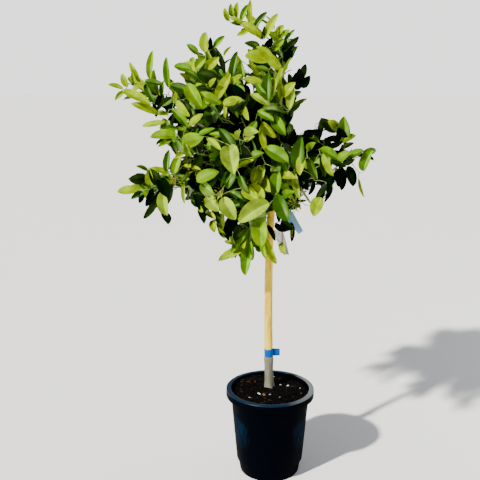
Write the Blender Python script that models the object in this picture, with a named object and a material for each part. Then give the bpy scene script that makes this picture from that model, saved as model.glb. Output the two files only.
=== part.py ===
"""A potted Persian lime tree: a young standard with a bare trunk and a leafy head, in a black nursery pot.

Metres, +Z up. The origin is the centre of the pot's flat underside. The front is -Y, and +X is to the right.
"""

import math
import random

import bmesh
import bpy
from mathutils import Matrix, Vector
from mathutils.bvhtree import BVHTree

# Pot
POT_HEIGHT = 0.330
RIM_RADIUS = 0.165
RIM_DROP = 0.027
RIM_EDGE = 0.004
SKIRT_THICKNESS = 0.003
WALL_THICKNESS = 0.003
FLOOR_THICKNESS = 0.004
WALL_RADIUS_TOP = 0.1484
WALL_RADIUS_LOW = 0.1250
FOOT_HEIGHT = 0.048
FOOT_STEP = 0.006
FOOT_RADIUS = 0.112
FOOT_EDGE = 0.004
POT_SIDES = 44

# Potting mix
SOIL_EDGE_HEIGHT = 0.312
SOIL_TOP_HEIGHT = 0.320
SOIL_FLAT_RADIUS = 0.075

# Gap between pieces that touch, and the least gap between foliage and its neighbours
CLEAR = 0.0003
NEIGHBOUR_CLEAR = 0.0012

# Trunk, as the (x, y) of its middle at evenly spaced heights from its foot to the leader's tip
TRUNK_FOOT_HEIGHT = SOIL_TOP_HEIGHT + CLEAR
TRUNK_TIP_HEIGHT = 1.500
TRUNK_LINE = ((-0.002, 0.030), (-0.0075, 0.030), (-0.0045, 0.030), (0.0115, 0.030), (0.036, 0.022))
TRUNK_FOOT_RADIUS = 0.0150
TRUNK_HEAD_RADIUS = 0.0120
HEAD_HEIGHT = 1.000
LEADER_TIP_RADIUS = 0.0042
FLARE = 0.0065
FLARE_HEIGHT = 0.016
FLARE_LOBES = 5
FLARE_LOBE_SHARE = 0.3
GRAFT_HEIGHT = 0.430
GRAFT_BULGE = 0.0020
GRAFT_SPAN = 0.020
TRUNK_SIDES = 12
TRUNK_RINGS = 22
FOOT_RING_SHARE = 0.35
SHARP_ANGLE = math.radians(40)

# Boughs
BOUGH_SIDES = 6
BOUGH_RINGS = 5
BOUGH_ARCH = 0.10

# Marker tape round the trunk above the graft, and two blank plant labels
TAPE_HEIGHT = 0.458
TAPE_WIDTH = 0.030
TAPE_THICKNESS = 0.0010
TAPE_FLAG = 0.028
LABEL_THICKNESS = 0.0010
LABEL_BAND = 0.012
LABEL_UPPER_HEIGHT = 1.015
LABEL_LOWER_HEIGHT = 0.925
TAPE_BEARING = math.radians(6)
LABEL_UPPER_BEARING = math.radians(-28)
LABEL_LOWER_BEARING = math.radians(-10)

# Twigs and leaves
GOLDEN_ANGLE = math.radians(137.5)
STEM_RINGS = 5
STEM_RADIUS = 0.0040
STEM_TIP_RADIUS = 0.0020
STEM_RISE = 0.08
STEM_FOLLOW = 0.45
STEM_STEP = 0.028
TWIG_SIDES = 3
TWIG_RADIUS = 0.0026
TWIG_TIP_RADIUS = 0.0020
TWIG_STAND = 0.20
TWIG_SIZES = (1.0, 0.75, 0.5)
LEAF_LENGTH = 0.115
LEAF_HALF_WIDTHS = ((0.34, 0.250), (0.70, 0.208))
LEAF_FOLDS = (0.065, 0.052)
LEAF_DROOP = 0.07
LEAF_ROOT = 0.0008
LEAF_STEP = 0.028
LEAF_STAND = 0.60
LEAF_SIZES = (1.0, 0.8, 0.65)
TURNS = tuple(math.radians(a) for a in (0, 30, -30, 65, -65, 100, -100, 140, -140, 180))
TWIG_TURNS = TURNS[:5]

# Leaves that stand above the first value are sunlit, and those that hang below the second are shaded
SUNLIT_STAND = 0.5
SHADED_STAND = -0.3

# Colours as linear RGB, with roughness
COLOURS = {
    "pot_plastic": ((0.006, 0.008, 0.012), 0.45),
    "potting_mix": ((0.022, 0.014, 0.010), 0.95),
    "bark": ((0.42, 0.33, 0.17), 0.80),
    "leaves_sunlit": ((0.23, 0.36, 0.025), 0.40),
    "leaves_green": ((0.10, 0.22, 0.022), 0.40),
    "leaves_shaded": ((0.035, 0.095, 0.016), 0.45),
    "marker_tape": ((0.0, 0.25, 0.85), 0.40),
    "label": ((0.55, 0.62, 0.66), 0.55),
}

# Each bough: the limb it leaves, the share of that limb's length where it does, its tip, and its root and
# tip radii
BOUGHS = {
    "bough_left": ("trunk", 0.632, (-0.255, -0.030, 1.315), 0.0085, 0.0042),
    "bough_upper_left": ("bough_left", 0.36, (-0.160, 0.000, 1.345), 0.0056, 0.0042),
    "bough_left_middle": ("bough_left", 0.50, (-0.215, -0.085, 1.215), 0.0050, 0.0040),
    "bough_left_near": ("trunk", 0.671, (-0.130, -0.055, 1.165), 0.0060, 0.0040),
    "bough_lower_left": ("trunk", 0.606, (-0.230, 0.010, 1.090), 0.0075, 0.0042),
    "bough_low_left_front": ("bough_lower_left", 0.42, (-0.140, -0.070, 1.030), 0.0050, 0.0040),
    "bough_front": ("trunk", 0.659, (-0.060, -0.115, 1.165), 0.0075, 0.0042),
    "bough_upper_front": ("bough_front", 0.45, (-0.095, -0.075, 1.310), 0.0050, 0.0040),
    "bough_front_right": ("trunk", 0.691, (0.030, -0.100, 1.150), 0.0065, 0.0042),
    "bough_right": ("trunk", 0.638, (0.155, 0.015, 1.125), 0.0085, 0.0042),
    "bough_right_near": ("bough_right", 0.42, (0.095, -0.050, 1.140), 0.0052, 0.0040),
    "bough_right_low": ("bough_right", 0.50, (0.135, 0.055, 1.035), 0.0050, 0.0040),
    "bough_back_right": ("trunk", 0.665, (0.095, 0.145, 1.180), 0.0075, 0.0042),
    "bough_back_right_low": ("bough_back_right", 0.42, (0.095, 0.130, 1.045), 0.0050, 0.0040),
    "bough_back": ("trunk", 0.680, (-0.020, 0.165, 1.165), 0.0075, 0.0042),
    "bough_back_low": ("bough_back", 0.36, (-0.030, 0.150, 1.040), 0.0050, 0.0040),
    "bough_back_left": ("trunk", 0.649, (-0.130, 0.130, 1.245), 0.0080, 0.0042),
    "bough_back_left_low": ("bough_back_left", 0.42, (-0.145, 0.135, 1.090), 0.0050, 0.0040),
    "bough_back_top": ("trunk", 0.801, (-0.035, 0.110, 1.345), 0.0055, 0.0040),
    "bough_low_front": ("trunk", 0.618, (-0.035, -0.075, 1.005), 0.0060, 0.0040),
}

# Each mass: the limb its stem grows from, the share of that limb's length where it does (1 is its tip), the
# stem's tip, how far the mass spreads round its stem, and how its leaves stand, from -1 for hanging to 1 for
# upright
MASSES = {
    "foliage_top_shoot": ("trunk", 1.0, (-0.135, -0.020, 1.646), 0.085, 0.9),
    "foliage_top_right": ("trunk", 0.941, (0.035, 0.045, 1.572), 0.070, 0.7),
    "foliage_leader_front": ("trunk", 0.898, (-0.060, -0.095, 1.465), 0.100, 0.3),
    "foliage_upper_right": ("trunk", 0.864, (0.080, 0.050, 1.470), 0.070, 0.4),
    "foliage_leader_left": ("trunk", 0.765, (-0.070, -0.030, 1.360), 0.085, 0.2),
    "foliage_leader_right": ("trunk", 0.780, (0.058, -0.045, 1.375), 0.074, 0.2),
    "foliage_upper_left": ("bough_upper_left", 1.0, (-0.222, -0.025, 1.535), 0.110, 0.7),
    "foliage_upper_front": ("bough_upper_front", 1.0, (-0.165, -0.150, 1.445), 0.110, 0.4),
    "foliage_left": ("bough_left", 1.0, (-0.488, -0.050, 1.452), 0.088, 0.9),
    "foliage_left_middle": ("bough_left_middle", 1.0, (-0.350, -0.125, 1.330), 0.100, 0.1),
    "foliage_left_near": ("bough_left_near", 1.0, (-0.275, -0.120, 1.205), 0.110, -0.2),
    "foliage_lower_left": ("bough_lower_left", 1.0, (-0.460, 0.000, 1.080), 0.088, -0.3),
    "foliage_front": ("bough_front", 1.0, (-0.130, -0.255, 1.235), 0.130, -0.1),
    "foliage_front_right": ("bough_front_right", 1.0, (0.045, -0.245, 1.215), 0.125, -0.1),
    "foliage_right_near": ("bough_right_near", 1.0, (0.145, -0.130, 1.180), 0.100, -0.2),
    "foliage_right": ("bough_right", 1.0, (0.278, 0.000, 1.228), 0.105, 0.3),
    "foliage_right_low": ("bough_right_low", 1.0, (0.240, 0.060, 1.120), 0.075, -0.5),
    "foliage_low_front": ("bough_low_front", 1.0, (-0.090, -0.220, 1.035), 0.115, -0.4),
    "foliage_low_left_front": ("bough_low_left_front", 1.0, (-0.205, -0.155, 1.085), 0.088, -0.5),
    "foliage_hanging": ("trunk", 0.587, (-0.095, -0.060, 0.880), 0.085, -1.0),
    "foliage_low_right": ("trunk", 0.597, (0.075, -0.080, 1.050), 0.070, -0.5),
    "foliage_back_top": ("bough_back_top", 1.0, (-0.065, 0.190, 1.480), 0.110, 0.5),
    "foliage_back_left": ("bough_back_left", 1.0, (-0.268, 0.225, 1.380), 0.120, 0.2),
    "foliage_back_left_low": ("bough_back_left_low", 1.0, (-0.280, 0.215, 1.090), 0.115, -0.4),
    "foliage_back": ("bough_back", 1.0, (-0.025, 0.320, 1.240), 0.130, 0.0),
    "foliage_back_right": ("bough_back_right", 1.0, (0.185, 0.245, 1.238), 0.115, 0.0),
    "foliage_back_low": ("bough_back_low", 1.0, (-0.060, 0.260, 1.010), 0.110, -0.5),
    "foliage_back_right_low": ("bough_back_right_low", 1.0, (0.160, 0.215, 1.095), 0.086, -0.4),
}


def clear_scene():
    for old in list(bpy.data.objects):
        bpy.data.objects.remove(old)


def material(slot):
    """The Principled material of one colour slot, made once."""
    found = bpy.data.materials.get(slot)
    if found:
        return found
    colour, roughness = COLOURS[slot]
    made = bpy.data.materials.new(slot)
    made.use_nodes = True
    shader = made.node_tree.nodes["Principled BSDF"]
    shader.inputs["Base Color"].default_value = (*colour, 1.0)
    shader.inputs["Roughness"].default_value = roughness
    shader.inputs["Metallic"].default_value = 0.0
    return made


def add_object(name, bm, slot):
    """Turns a bmesh into a linked object with its outward normals and its material."""
    mesh = bpy.data.meshes.new(name)
    bmesh.ops.recalc_face_normals(bm, faces=bm.faces)
    bm.to_mesh(mesh)
    bm.free()
    mesh.materials.append(material(slot))
    made = bpy.data.objects.new(name, mesh)
    bpy.context.scene.collection.objects.link(made)
    return made


def smooth(obj):
    """Shades a round piece smooth, with its edges kept."""
    obj.data.shade_smooth()
    obj.data.set_sharp_from_angle(angle=SHARP_ANGLE)


def turned(profile, sides):
    """A closed solid turned about Z from (radius, height) points, whose first and last lie on the axis."""
    bm = bmesh.new()
    rings = []
    for radius, height in profile:
        if radius == 0.0:
            rings.append([bm.verts.new((0.0, 0.0, height))])
            continue
        turns = [2 * math.pi * k / sides for k in range(sides)]
        rings.append([bm.verts.new((radius * math.cos(a), radius * math.sin(a), height)) for a in turns])
    for low, high in zip(rings, rings[1:]):
        for k in range(sides):
            m = (k + 1) % sides
            corners = [low[k % len(low)], low[m % len(low)], high[m % len(high)], high[k % len(high)]]
            bm.faces.new(list(dict.fromkeys(corners)))
    return bm


def smooth_line(points, count):
    """Evenly spaced stations on a Catmull-Rom curve through the points."""
    ends = [points[0] * 2 - points[1], *points, points[-1] * 2 - points[-2]]
    placed = []
    for k in range(count):
        u = k / (count - 1) * (len(points) - 1)
        i = min(int(u), len(points) - 2)
        t = u - i
        a, b, c, d = ends[i : i + 4]
        curve = 2 * b + (c - a) * t + (2 * a - 5 * b + 4 * c - d) * t**2 + (3 * b - a - 3 * c + d) * t**3
        placed.append(curve / 2)
    return placed


def bent_line(start, bend, tip, count):
    """Stations on the quadratic curve from start to tip that leaves towards bend."""
    shares = [k / (count - 1) for k in range(count)]
    return [start * (1 - t) ** 2 + bend * 2 * t * (1 - t) + tip * t**2 for t in shares]


def directions(line):
    """The unit tangent at each station."""
    last = len(line) - 1
    return [(line[min(k + 1, last)] - line[max(k - 1, 0)]).normalized() for k in range(len(line))]


def side_of(direction):
    """A unit vector square to the direction, which turns slowly as the direction does."""
    across = Vector((0.31, 0.95, 0.0)) if abs(direction.z) > 0.6 else Vector((0.0, 0.0, 1.0))
    return (across - direction * across.dot(direction)).normalized()


def turned_side(direction, angle):
    """The side vector turned round the direction by an angle."""
    return Matrix.Rotation(angle, 3, direction) @ side_of(direction)


def tube(line, radius_at, sides, first=None):
    """A closed tapering tube along a line, with its foot square to first.

    radius_at(station, angle) gives its radius.
    """
    bm = bmesh.new()
    way = directions(line)
    way[0] = first or way[0]
    side = side_of(way[0])
    rings = []
    for k, (point, direction) in enumerate(zip(line, way)):
        side = (side - direction * side.dot(direction)).normalized()
        over = direction.cross(side)
        turns = [2 * math.pi * j / sides for j in range(sides)]
        ring = [point + (side * math.cos(a) + over * math.sin(a)) * radius_at(k, a) for a in turns]
        rings.append([bm.verts.new(v) for v in ring])
    for low, high in zip(rings, rings[1:]):
        for k in range(sides):
            m = (k + 1) % sides
            bm.faces.new((low[k], low[m], high[m], high[k]))
    bm.faces.new(rings[0][::-1])
    bm.faces.new(rings[-1])
    return bm


class Limb:
    """The trunk or a bough: its line and its radius at each station."""

    def __init__(self, line, radii, sides, lobes=0.0, first=None):
        self.line = line
        self.radii = radii
        self.sides = sides
        self.lobes = lobes
        self.first = first

    def at(self, share):
        """(point, direction, radius) at a share of the limb's length."""
        u = share * (len(self.line) - 1)
        i = min(int(u), len(self.line) - 2)
        point = self.line[i].lerp(self.line[i + 1], u - i)
        direction = (self.line[i + 1] - self.line[i]).normalized()
        return point, direction, self.radii[i] + (self.radii[i + 1] - self.radii[i]) * (u - i)

    def solid(self, grown=0.0):
        """The limb's closed solid, or with grown its outline a little larger all round."""

        def radius_at(station, angle):
            flare = FLARE * math.exp(-(self.line[station].z - self.line[0].z) / FLARE_HEIGHT)
            lobe = self.lobes * flare * math.cos(FLARE_LOBES * angle)
            return self.radii[station] + lobe + grown

        return tube(self.line, radius_at, self.sides, self.first)


def trunk_limb():
    """The trunk from the flat cut at soil level through its graft to the leader's tip."""
    foot = TRUNK_FOOT_HEIGHT
    rise = (TRUNK_TIP_HEIGHT - foot) / (len(TRUNK_LINE) - 1)
    points = [Vector((x, y, foot + rise * k)) for k, (x, y) in enumerate(TRUNK_LINE)]
    line = smooth_line(points, TRUNK_RINGS)
    line[1] = line[0].lerp(line[1], FOOT_RING_SHARE)
    radii = []
    for point in line:
        if point.z < HEAD_HEIGHT:
            share = (point.z - foot) / (HEAD_HEIGHT - foot)
            radius = TRUNK_FOOT_RADIUS + (TRUNK_HEAD_RADIUS - TRUNK_FOOT_RADIUS) * share
        else:
            share = (point.z - HEAD_HEIGHT) / (TRUNK_TIP_HEIGHT - HEAD_HEIGHT)
            radius = TRUNK_HEAD_RADIUS + (LEADER_TIP_RADIUS - TRUNK_HEAD_RADIUS) * share
        radius += FLARE * math.exp(-(point.z - foot) / FLARE_HEIGHT)
        radius += GRAFT_BULGE * math.exp(-(((point.z - GRAFT_HEIGHT) / GRAFT_SPAN) ** 2))
        radii.append(radius)
    return Limb(line, radii, TRUNK_SIDES, lobes=FLARE_LOBE_SHARE, first=Vector((0, 0, 1)))


def bough_limb(parent, share, tip, root_radius, tip_radius):
    """A bough from the middle of its parent to its tip, in one slight arch."""
    start = parent.at(share)[0]
    reach = tip - start
    bend = start + reach * 0.5 + Vector((0, 0, reach.length * BOUGH_ARCH))
    line = bent_line(start, bend, tip, BOUGH_RINGS)
    last = BOUGH_RINGS - 1
    radii = [root_radius + (tip_radius - root_radius) * k / last for k in range(BOUGH_RINGS)]
    return Limb(line, radii, BOUGH_SIDES)


def largest_island(mesh):
    """Keeps the outer surface of the largest piece, which drops scraps and fills sealed hollows."""
    bm = bmesh.new()
    bm.from_mesh(mesh)
    unseen = set(bm.verts)
    islands = []
    while unseen:
        queue = [unseen.pop()]
        island = set(queue)
        while queue:
            for edge in queue.pop().link_edges:
                for vert in edge.verts:
                    if vert in unseen:
                        unseen.discard(vert)
                        island.add(vert)
                        queue.append(vert)
        islands.append(island)

    def span(island):
        return max((v.co - next(iter(island)).co).length for v in island)

    keep = max(islands, key=span)
    bmesh.ops.delete(bm, geom=[v for v in bm.verts if v not in keep], context="VERTS")
    bm.to_mesh(mesh)
    bm.free()


def joined(obj, others, operation):
    """Applies one Boolean of the other objects to obj, then removes them."""
    tools = bpy.data.collections.new("tools")
    bpy.context.scene.collection.children.link(tools)
    for other in others:
        for holder in list(other.users_collection):
            holder.objects.unlink(other)
        tools.objects.link(other)
    boolean = obj.modifiers.new("boolean", "BOOLEAN")
    boolean.operation = operation
    boolean.solver = "EXACT"
    boolean.operand_type = "COLLECTION"
    boolean.collection = tools
    bpy.context.view_layer.update()
    graph = bpy.context.evaluated_depsgraph_get()
    made = bpy.data.meshes.new_from_object(obj.evaluated_get(graph))
    obj.modifiers.clear()
    obj.data = made
    largest_island(made)
    for other in others:
        bpy.data.objects.remove(other)
    bpy.data.collections.remove(tools)


def wall_radius(height):
    """The pot's outer wall radius above its foot."""
    share = (height - FOOT_HEIGHT) / (POT_HEIGHT - FOOT_HEIGHT)
    return WALL_RADIUS_LOW + (WALL_RADIUS_TOP - WALL_RADIUS_LOW) * share


def inner_profile(inset, top):
    """The inside of the pot as (radius, height) points from its floor up to top, moved inwards by inset."""
    slope = WALL_THICKNESS + inset
    floor = FLOOR_THICKNESS + inset
    return [
        (FOOT_RADIUS - slope, floor),
        (WALL_RADIUS_LOW - FOOT_STEP - slope, FOOT_HEIGHT - FOOT_STEP),
        (WALL_RADIUS_LOW - slope, FOOT_HEIGHT),
        (wall_radius(top) - slope, top),
    ]


def build_pot():
    """The pot: a tapered shell with a stepped foot and a rim turned down in a skirt."""
    under_rim = POT_HEIGHT - SKIRT_THICKNESS
    skirt_foot = POT_HEIGHT - RIM_DROP
    profile = [
        (0.0, 0.0),
        (FOOT_RADIUS - FOOT_EDGE, 0.0),
        (FOOT_RADIUS, FOOT_EDGE),
        (WALL_RADIUS_LOW - FOOT_STEP, FOOT_HEIGHT - FOOT_STEP),
        (WALL_RADIUS_LOW, FOOT_HEIGHT),
        (wall_radius(under_rim), under_rim),
        (RIM_RADIUS - SKIRT_THICKNESS - RIM_EDGE / 2, under_rim),
        (RIM_RADIUS - SKIRT_THICKNESS, under_rim - RIM_EDGE / 2),
        (RIM_RADIUS - SKIRT_THICKNESS, skirt_foot),
        (RIM_RADIUS, skirt_foot),
        (RIM_RADIUS, POT_HEIGHT - RIM_EDGE),
        (RIM_RADIUS - RIM_EDGE * 0.3, POT_HEIGHT - RIM_EDGE * 0.3),
        (RIM_RADIUS - RIM_EDGE, POT_HEIGHT),
        *reversed(inner_profile(0.0, POT_HEIGHT)),
        (0.0, FLOOR_THICKNESS),
    ]
    smooth(add_object("pot", turned(profile, POT_SIDES), "pot_plastic"))


def build_soil():
    """The potting mix: it fills the pot to just under the rim and is flat round the trunk."""
    sides = inner_profile(CLEAR, SOIL_EDGE_HEIGHT)
    profile = [(0.0, sides[0][1]), *sides, (SOIL_FLAT_RADIUS, SOIL_TOP_HEIGHT), (0.0, SOIL_TOP_HEIGHT)]
    smooth(add_object("potting_mix", turned(profile, POT_SIDES), "potting_mix"))


def slab(corner_points, thickness, across):
    """A flat plate from its corners, thickened along across."""
    bm = bmesh.new()
    half = across.normalized() * thickness / 2
    front = [bm.verts.new(p - half) for p in corner_points]
    back = [bm.verts.new(p + half) for p in corner_points]
    bm.faces.new(front)
    bm.faces.new(back[::-1])
    for k in range(len(front)):
        m = (k + 1) % len(front)
        bm.faces.new((front[k], back[k], back[m], front[m]))
    return bm


def build_strap(name, trunk, slot, height, width, wall, corners, bearing):
    """A band round the trunk with a flat tongue fused to it. Corners are (outwards, up) from its middle."""
    share = (height - TRUNK_FOOT_HEIGHT) / (TRUNK_TIP_HEIGHT - TRUNK_FOOT_HEIGHT)
    point, direction, radius = trunk.at(share)
    outer = radius + CLEAR + wall
    line = [point - direction * width / 2, point + direction * width / 2]
    strap = add_object(name, tube(line, lambda station, angle: outer, TRUNK_SIDES), slot)
    out = Vector((math.cos(bearing), math.sin(bearing), 0.0))
    root = point + out * (outer - wall * 2)
    plate = [root + out * u + Vector((0, 0, w)) for u, w in corners]
    tongue = add_object("tongue", slab(plate, wall, out.cross(Vector((0, 0, 1)))), slot)
    joined(strap, [tongue], "UNION")
    joined(strap, [add_object("bore", trunk.solid(CLEAR), slot)], "DIFFERENCE")
    smooth(strap)
    return strap


def build_straps(trunk):
    """The blue marker tape with its free end, and two blank strip labels hanging from the trunk."""
    half = TAPE_WIDTH / 2
    flag = ((0, -half), (TAPE_FLAG, -half + 0.001), (TAPE_FLAG, half - 0.002), (0, half))
    tape = (TAPE_HEIGHT, TAPE_WIDTH, TAPE_THICKNESS, flag, TAPE_BEARING)
    edge = LABEL_BAND / 2
    long_foot = ((0, -edge), (0.044, -0.036), (0.098, -0.090))
    long_head = ((0.1145, -0.076), (0.072, -0.010), (0.050, -0.006), (0, edge))
    wide_foot = ((0, -edge), (0.010, -0.021), (0.017, -0.046), (0.026, -0.078))
    wide_head = ((0.059, -0.086), (0.045, -0.028), (0.037, -0.003), (0.012, 0.004), (0, edge))
    upper = (LABEL_UPPER_HEIGHT, LABEL_BAND, LABEL_THICKNESS, long_foot + long_head, LABEL_UPPER_BEARING)
    lower = (LABEL_LOWER_HEIGHT, LABEL_BAND, LABEL_THICKNESS, wide_foot + wide_head, LABEL_LOWER_BEARING)
    return [
        build_strap("marker_tape", trunk, "marker_tape", *tape),
        build_strap("label_upper", trunk, "label", *upper),
        build_strap("label_lower", trunk, "label", *lower),
    ]


def build_limbs():
    """The trunk and the boughs, each bough cut to fit against the limb it leaves."""
    limbs = {"trunk": trunk_limb()}
    smooth(add_object("trunk", limbs["trunk"].solid(), "bark"))
    for name, (parent, share, tip, root_radius, tip_radius) in BOUGHS.items():
        limbs[name] = bough_limb(limbs[parent], share, Vector(tip), root_radius, tip_radius)
        bough = add_object(name, limbs[name].solid(), "bark")
        cutter = add_object("cutter", limbs[parent].solid(CLEAR), "bark")
        joined(bough, [cutter], "DIFFERENCE")
        smooth(bough)
    return limbs


class Mass:
    """The stem of one mass of foliage and the space round it."""

    def __init__(self, name, limbs):
        limb_name, share, tip, self.spread, self.stand = MASSES[name]
        point, direction, _ = limbs[limb_name].at(share)
        tip = Vector(tip)
        reach = (tip - point).length
        self.name = name
        self.limb = limbs[limb_name]
        self.on_side = share < 1.0
        self.first = None
        if self.on_side:
            bend = point.lerp(tip, 0.5) + Vector((0, 0, reach * STEM_RISE))
        else:
            self.first = direction
            point += direction * CLEAR
            bend = point + direction * reach * STEM_FOLLOW
        self.line = bent_line(point, bend, tip, STEM_RINGS)

    def slot(self):
        """The colour slot of the mass's leaves."""
        if self.stand > SUNLIT_STAND:
            return "leaves_sunlit"
        return "leaves_shaded" if self.stand < SHADED_STAND else "leaves_green"

    def stem(self, grown=0.0):
        return taper(self.line, STEM_RADIUS + grown, STEM_TIP_RADIUS + grown, self.first)

    def share_of_reach(self, point):
        """How far out of the mass a point lies: 0 on its stem and 1 at its spread."""
        return min(gap_to(point, a, b) for a, b in zip(self.line, self.line[1:])) / self.spread


def gap_to(point, start, end):
    """The distance from a point to a straight piece of a line."""
    along = end - start
    share = max(0.0, min(1.0, (point - start).dot(along) / along.length_squared))
    return (point - start - along * share).length


def taper(line, thick, thin, first=None):
    """A three-sided tube that thins evenly along its line."""
    last = len(line) - 1
    return tube(line, lambda station, angle: thick + (thin - thick) * station / last, TWIG_SIDES, first)


def leaf_solid(root, direction, normal, length):
    """A leaf of eight faces: six points round its outline, a flat upper side and a keel under it."""
    over = normal.cross(direction)
    (low_at, low_half), (high_at, high_half) = LEAF_HALF_WIDTHS
    low_fold, high_fold = LEAF_FOLDS
    bm = bmesh.new()

    def corner(along, across, up):
        return bm.verts.new(root + (direction * along + over * across + normal * up) * length)

    a = corner(0.0, 0.0, 0.0)
    b = corner(low_at, low_half, low_fold)
    c = corner(high_at, high_half, high_fold)
    d = corner(1.0, 0.0, -LEAF_DROOP)
    e = corner(high_at, -high_half, high_fold)
    f = corner(low_at, -low_half, low_fold)
    for corners in ((a, f, b), (b, f, e), (b, e, c), (c, e, d), (a, b, d), (b, c, d), (a, d, f), (f, d, e)):
        bm.faces.new(corners)
    return bm


def stations(line, first, last, count):
    """(point, direction) at evenly spaced shares of a line from first to last."""
    way = directions(line)
    placed = []
    for k in range(count):
        share = first + (last - first) * k / max(1, count - 1)
        u = share * (len(line) - 1)
        i = min(int(u), len(line) - 2)
        placed.append((line[i].lerp(line[i + 1], u - i), way[i].lerp(way[i + 1], u - i).normalized()))
    return placed


def length_of(line):
    return sum((b - a).length for a, b in zip(line, line[1:]))


class Growth:
    """Grows one mass: side twigs by the golden angle round its stem, and leaves along twigs and stem."""

    def __init__(self, mass, masses, obstacles, seed):
        self.mass = mass
        self.others = [m for m in masses if m is not mass]
        self.obstacles = obstacles
        self.rng = random.Random(seed)
        self.pieces = []
        self.trees = []

    def in_space(self, point):
        """True where a point is nearer to this mass's stem than to any other, each against its own spread."""
        own = self.mass.share_of_reach(point)
        return own <= 1.0 and all(own < other.share_of_reach(point) for other in self.others)

    def fits(self, bm, own):
        """True where a piece stays in its space, clear of limbs, other masses and all twigs but its own."""
        if not all(self.in_space(vert.co) for vert in bm.verts):
            return False
        for obstacle in self.obstacles:
            if any(obstacle.find_nearest(vert.co, NEIGHBOUR_CLEAR)[0] is not None for vert in bm.verts):
                return False
        tree = BVHTree.FromBMesh(bm)
        if any(tree.overlap(obstacle) for obstacle in self.obstacles):
            return False
        return not any(tree.overlap(other) for k, other in enumerate(self.trees) if k not in own)

    def keep(self, bm):
        self.pieces.append(bm)
        self.trees.append(BVHTree.FromBMesh(bm))
        return len(self.pieces) - 1

    def leaf(self, point, tangent, angle, own, size=1.0):
        """Adds a leaf at a point of a twig. Other turns and then smaller leaves are tried before none."""
        size *= self.rng.uniform(0.88, 1.08)
        lean = math.radians(self.rng.uniform(35, 65))
        tilt = Vector([self.rng.uniform(-0.35, 0.35) for _ in range(3)])
        for smaller in LEAF_SIZES:
            for turn in TURNS:
                radial = turned_side(tangent, angle + turn)
                direction = tangent * math.cos(lean) + radial * math.sin(lean)
                direction = (direction + Vector((0, 0, self.mass.stand * LEAF_STAND))).normalized()
                normal = tangent * 0.6 + Vector((0, -0.1, 0.8)) + tilt
                normal = (normal - direction * normal.dot(direction)).normalized()
                root = point - direction * LEAF_ROOT
                bm = leaf_solid(root, direction, normal, LEAF_LENGTH * size * smaller)
                if self.fits(bm, own):
                    self.keep(bm)
                    return
                bm.free()

    def grow(self):
        line = self.mass.line
        stem = self.keep(self.mass.stem())
        count = max(4, round(length_of(line) / STEM_STEP))
        angle = self.rng.uniform(0, 2 * math.pi)
        placed = stations(line, 0.12, 0.97, count)
        for k, (point, tangent) in enumerate(placed[:-1]):
            self.side_twig(point, tangent, angle + k * GOLDEN_ANGLE, stem, k / count)
        point, tangent = placed[-1]
        for turn in range(3):
            self.leaf(point, tangent, angle + turn * GOLDEN_ANGLE, (stem,), 0.9)
        for k, (point, tangent) in enumerate(stations(line, 0.16, 0.88, count)):
            self.leaf(point, tangent, angle + (k + 0.5) * GOLDEN_ANGLE, (stem,))

    def side_twig(self, point, tangent, angle, stem, share):
        """A side twig with leaves along it and two at its tip, or nothing where there is no room."""
        lean = math.radians(self.rng.uniform(50, 75))
        reach = self.mass.spread * (1.0 - 0.30 * share) * self.rng.uniform(0.60, 0.85)
        for shorter in TWIG_SIZES:
            for turn in TWIG_TURNS:
                radial = turned_side(tangent, angle + turn)
                direction = tangent * math.cos(lean) + radial * math.sin(lean)
                direction = (direction + Vector((0, 0, self.mass.stand * TWIG_STAND))).normalized()
                line = [point, point + direction * reach * shorter]
                bm = taper(line, TWIG_RADIUS, TWIG_TIP_RADIUS)
                if self.fits(bm, (stem,)):
                    self.dress(line, self.keep(bm), stem, angle)
                    return
                bm.free()

    def dress(self, line, twig, stem, angle):
        """Leaves along a side twig and two at its tip."""
        count = max(1, round(length_of(line) / LEAF_STEP))
        placed = stations(line, 0.30, 0.96, count + 1)
        own = (twig, stem)
        for k, (point, tangent) in enumerate(placed):
            self.leaf(point, tangent, angle + (k + 1) * GOLDEN_ANGLE, own)
        self.leaf(placed[-1][0], placed[-1][1], angle - GOLDEN_ANGLE, own, 0.9)


def surface_of(bms):
    """One search tree of several bmeshes, which it frees."""
    verts = []
    faces = []
    for bm in bms:
        first = len(verts)
        bm.verts.index_update()
        verts += [v.co.copy() for v in bm.verts]
        faces += [[first + v.index for v in face.verts] for face in bm.faces]
        bm.free()
    return BVHTree.FromPolygons(verts, faces)


def bmesh_of(obj):
    bm = bmesh.new()
    bm.from_mesh(obj.data)
    return bm


def build_masses(limbs, straps):
    """Every mass of foliage, each fused into one solid and cut to fit where its stem leaves a limb's side."""
    masses = [Mass(name, limbs) for name in MASSES]
    grown_limbs = [limb.solid(NEIGHBOUR_CLEAR) for limb in limbs.values()]
    fixed = surface_of(grown_limbs + [bmesh_of(strap) for strap in straps])
    stems = [surface_of([mass.stem(NEIGHBOUR_CLEAR)]) for mass in masses]
    finished = []
    for number, mass in enumerate(masses):
        growth = Growth(mass, masses, [fixed, *finished, *stems[:number], *stems[number + 1 :]], number + 1)
        growth.grow()
        body = add_object(mass.name, growth.pieces[0], mass.slot())
        joined(body, [add_object("piece", bm, mass.slot()) for bm in growth.pieces[1:]], "UNION")
        if mass.on_side:
            joined(body, [add_object("cutter", mass.limb.solid(CLEAR), "bark")], "DIFFERENCE")
        finished.append(surface_of([bmesh_of(body)]))


def main():
    clear_scene()
    build_pot()
    build_soil()
    limbs = build_limbs()
    straps = build_straps(limbs["trunk"])
    build_masses(limbs, straps)


main()
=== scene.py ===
"""Looks of a potted Persian lime tree: bark, twigs, glossy leaves, a black nursery pot and its potting mix.

Metres, +Z up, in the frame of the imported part. The trunk, the boughs and the stems of the foliage follow the
part's own rule, carried on here to finer twigs and to leaves of their real size.
"""

import itertools
import math
import random

import bpy
import numpy as np
from mathutils import Matrix, Vector, noise


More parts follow.
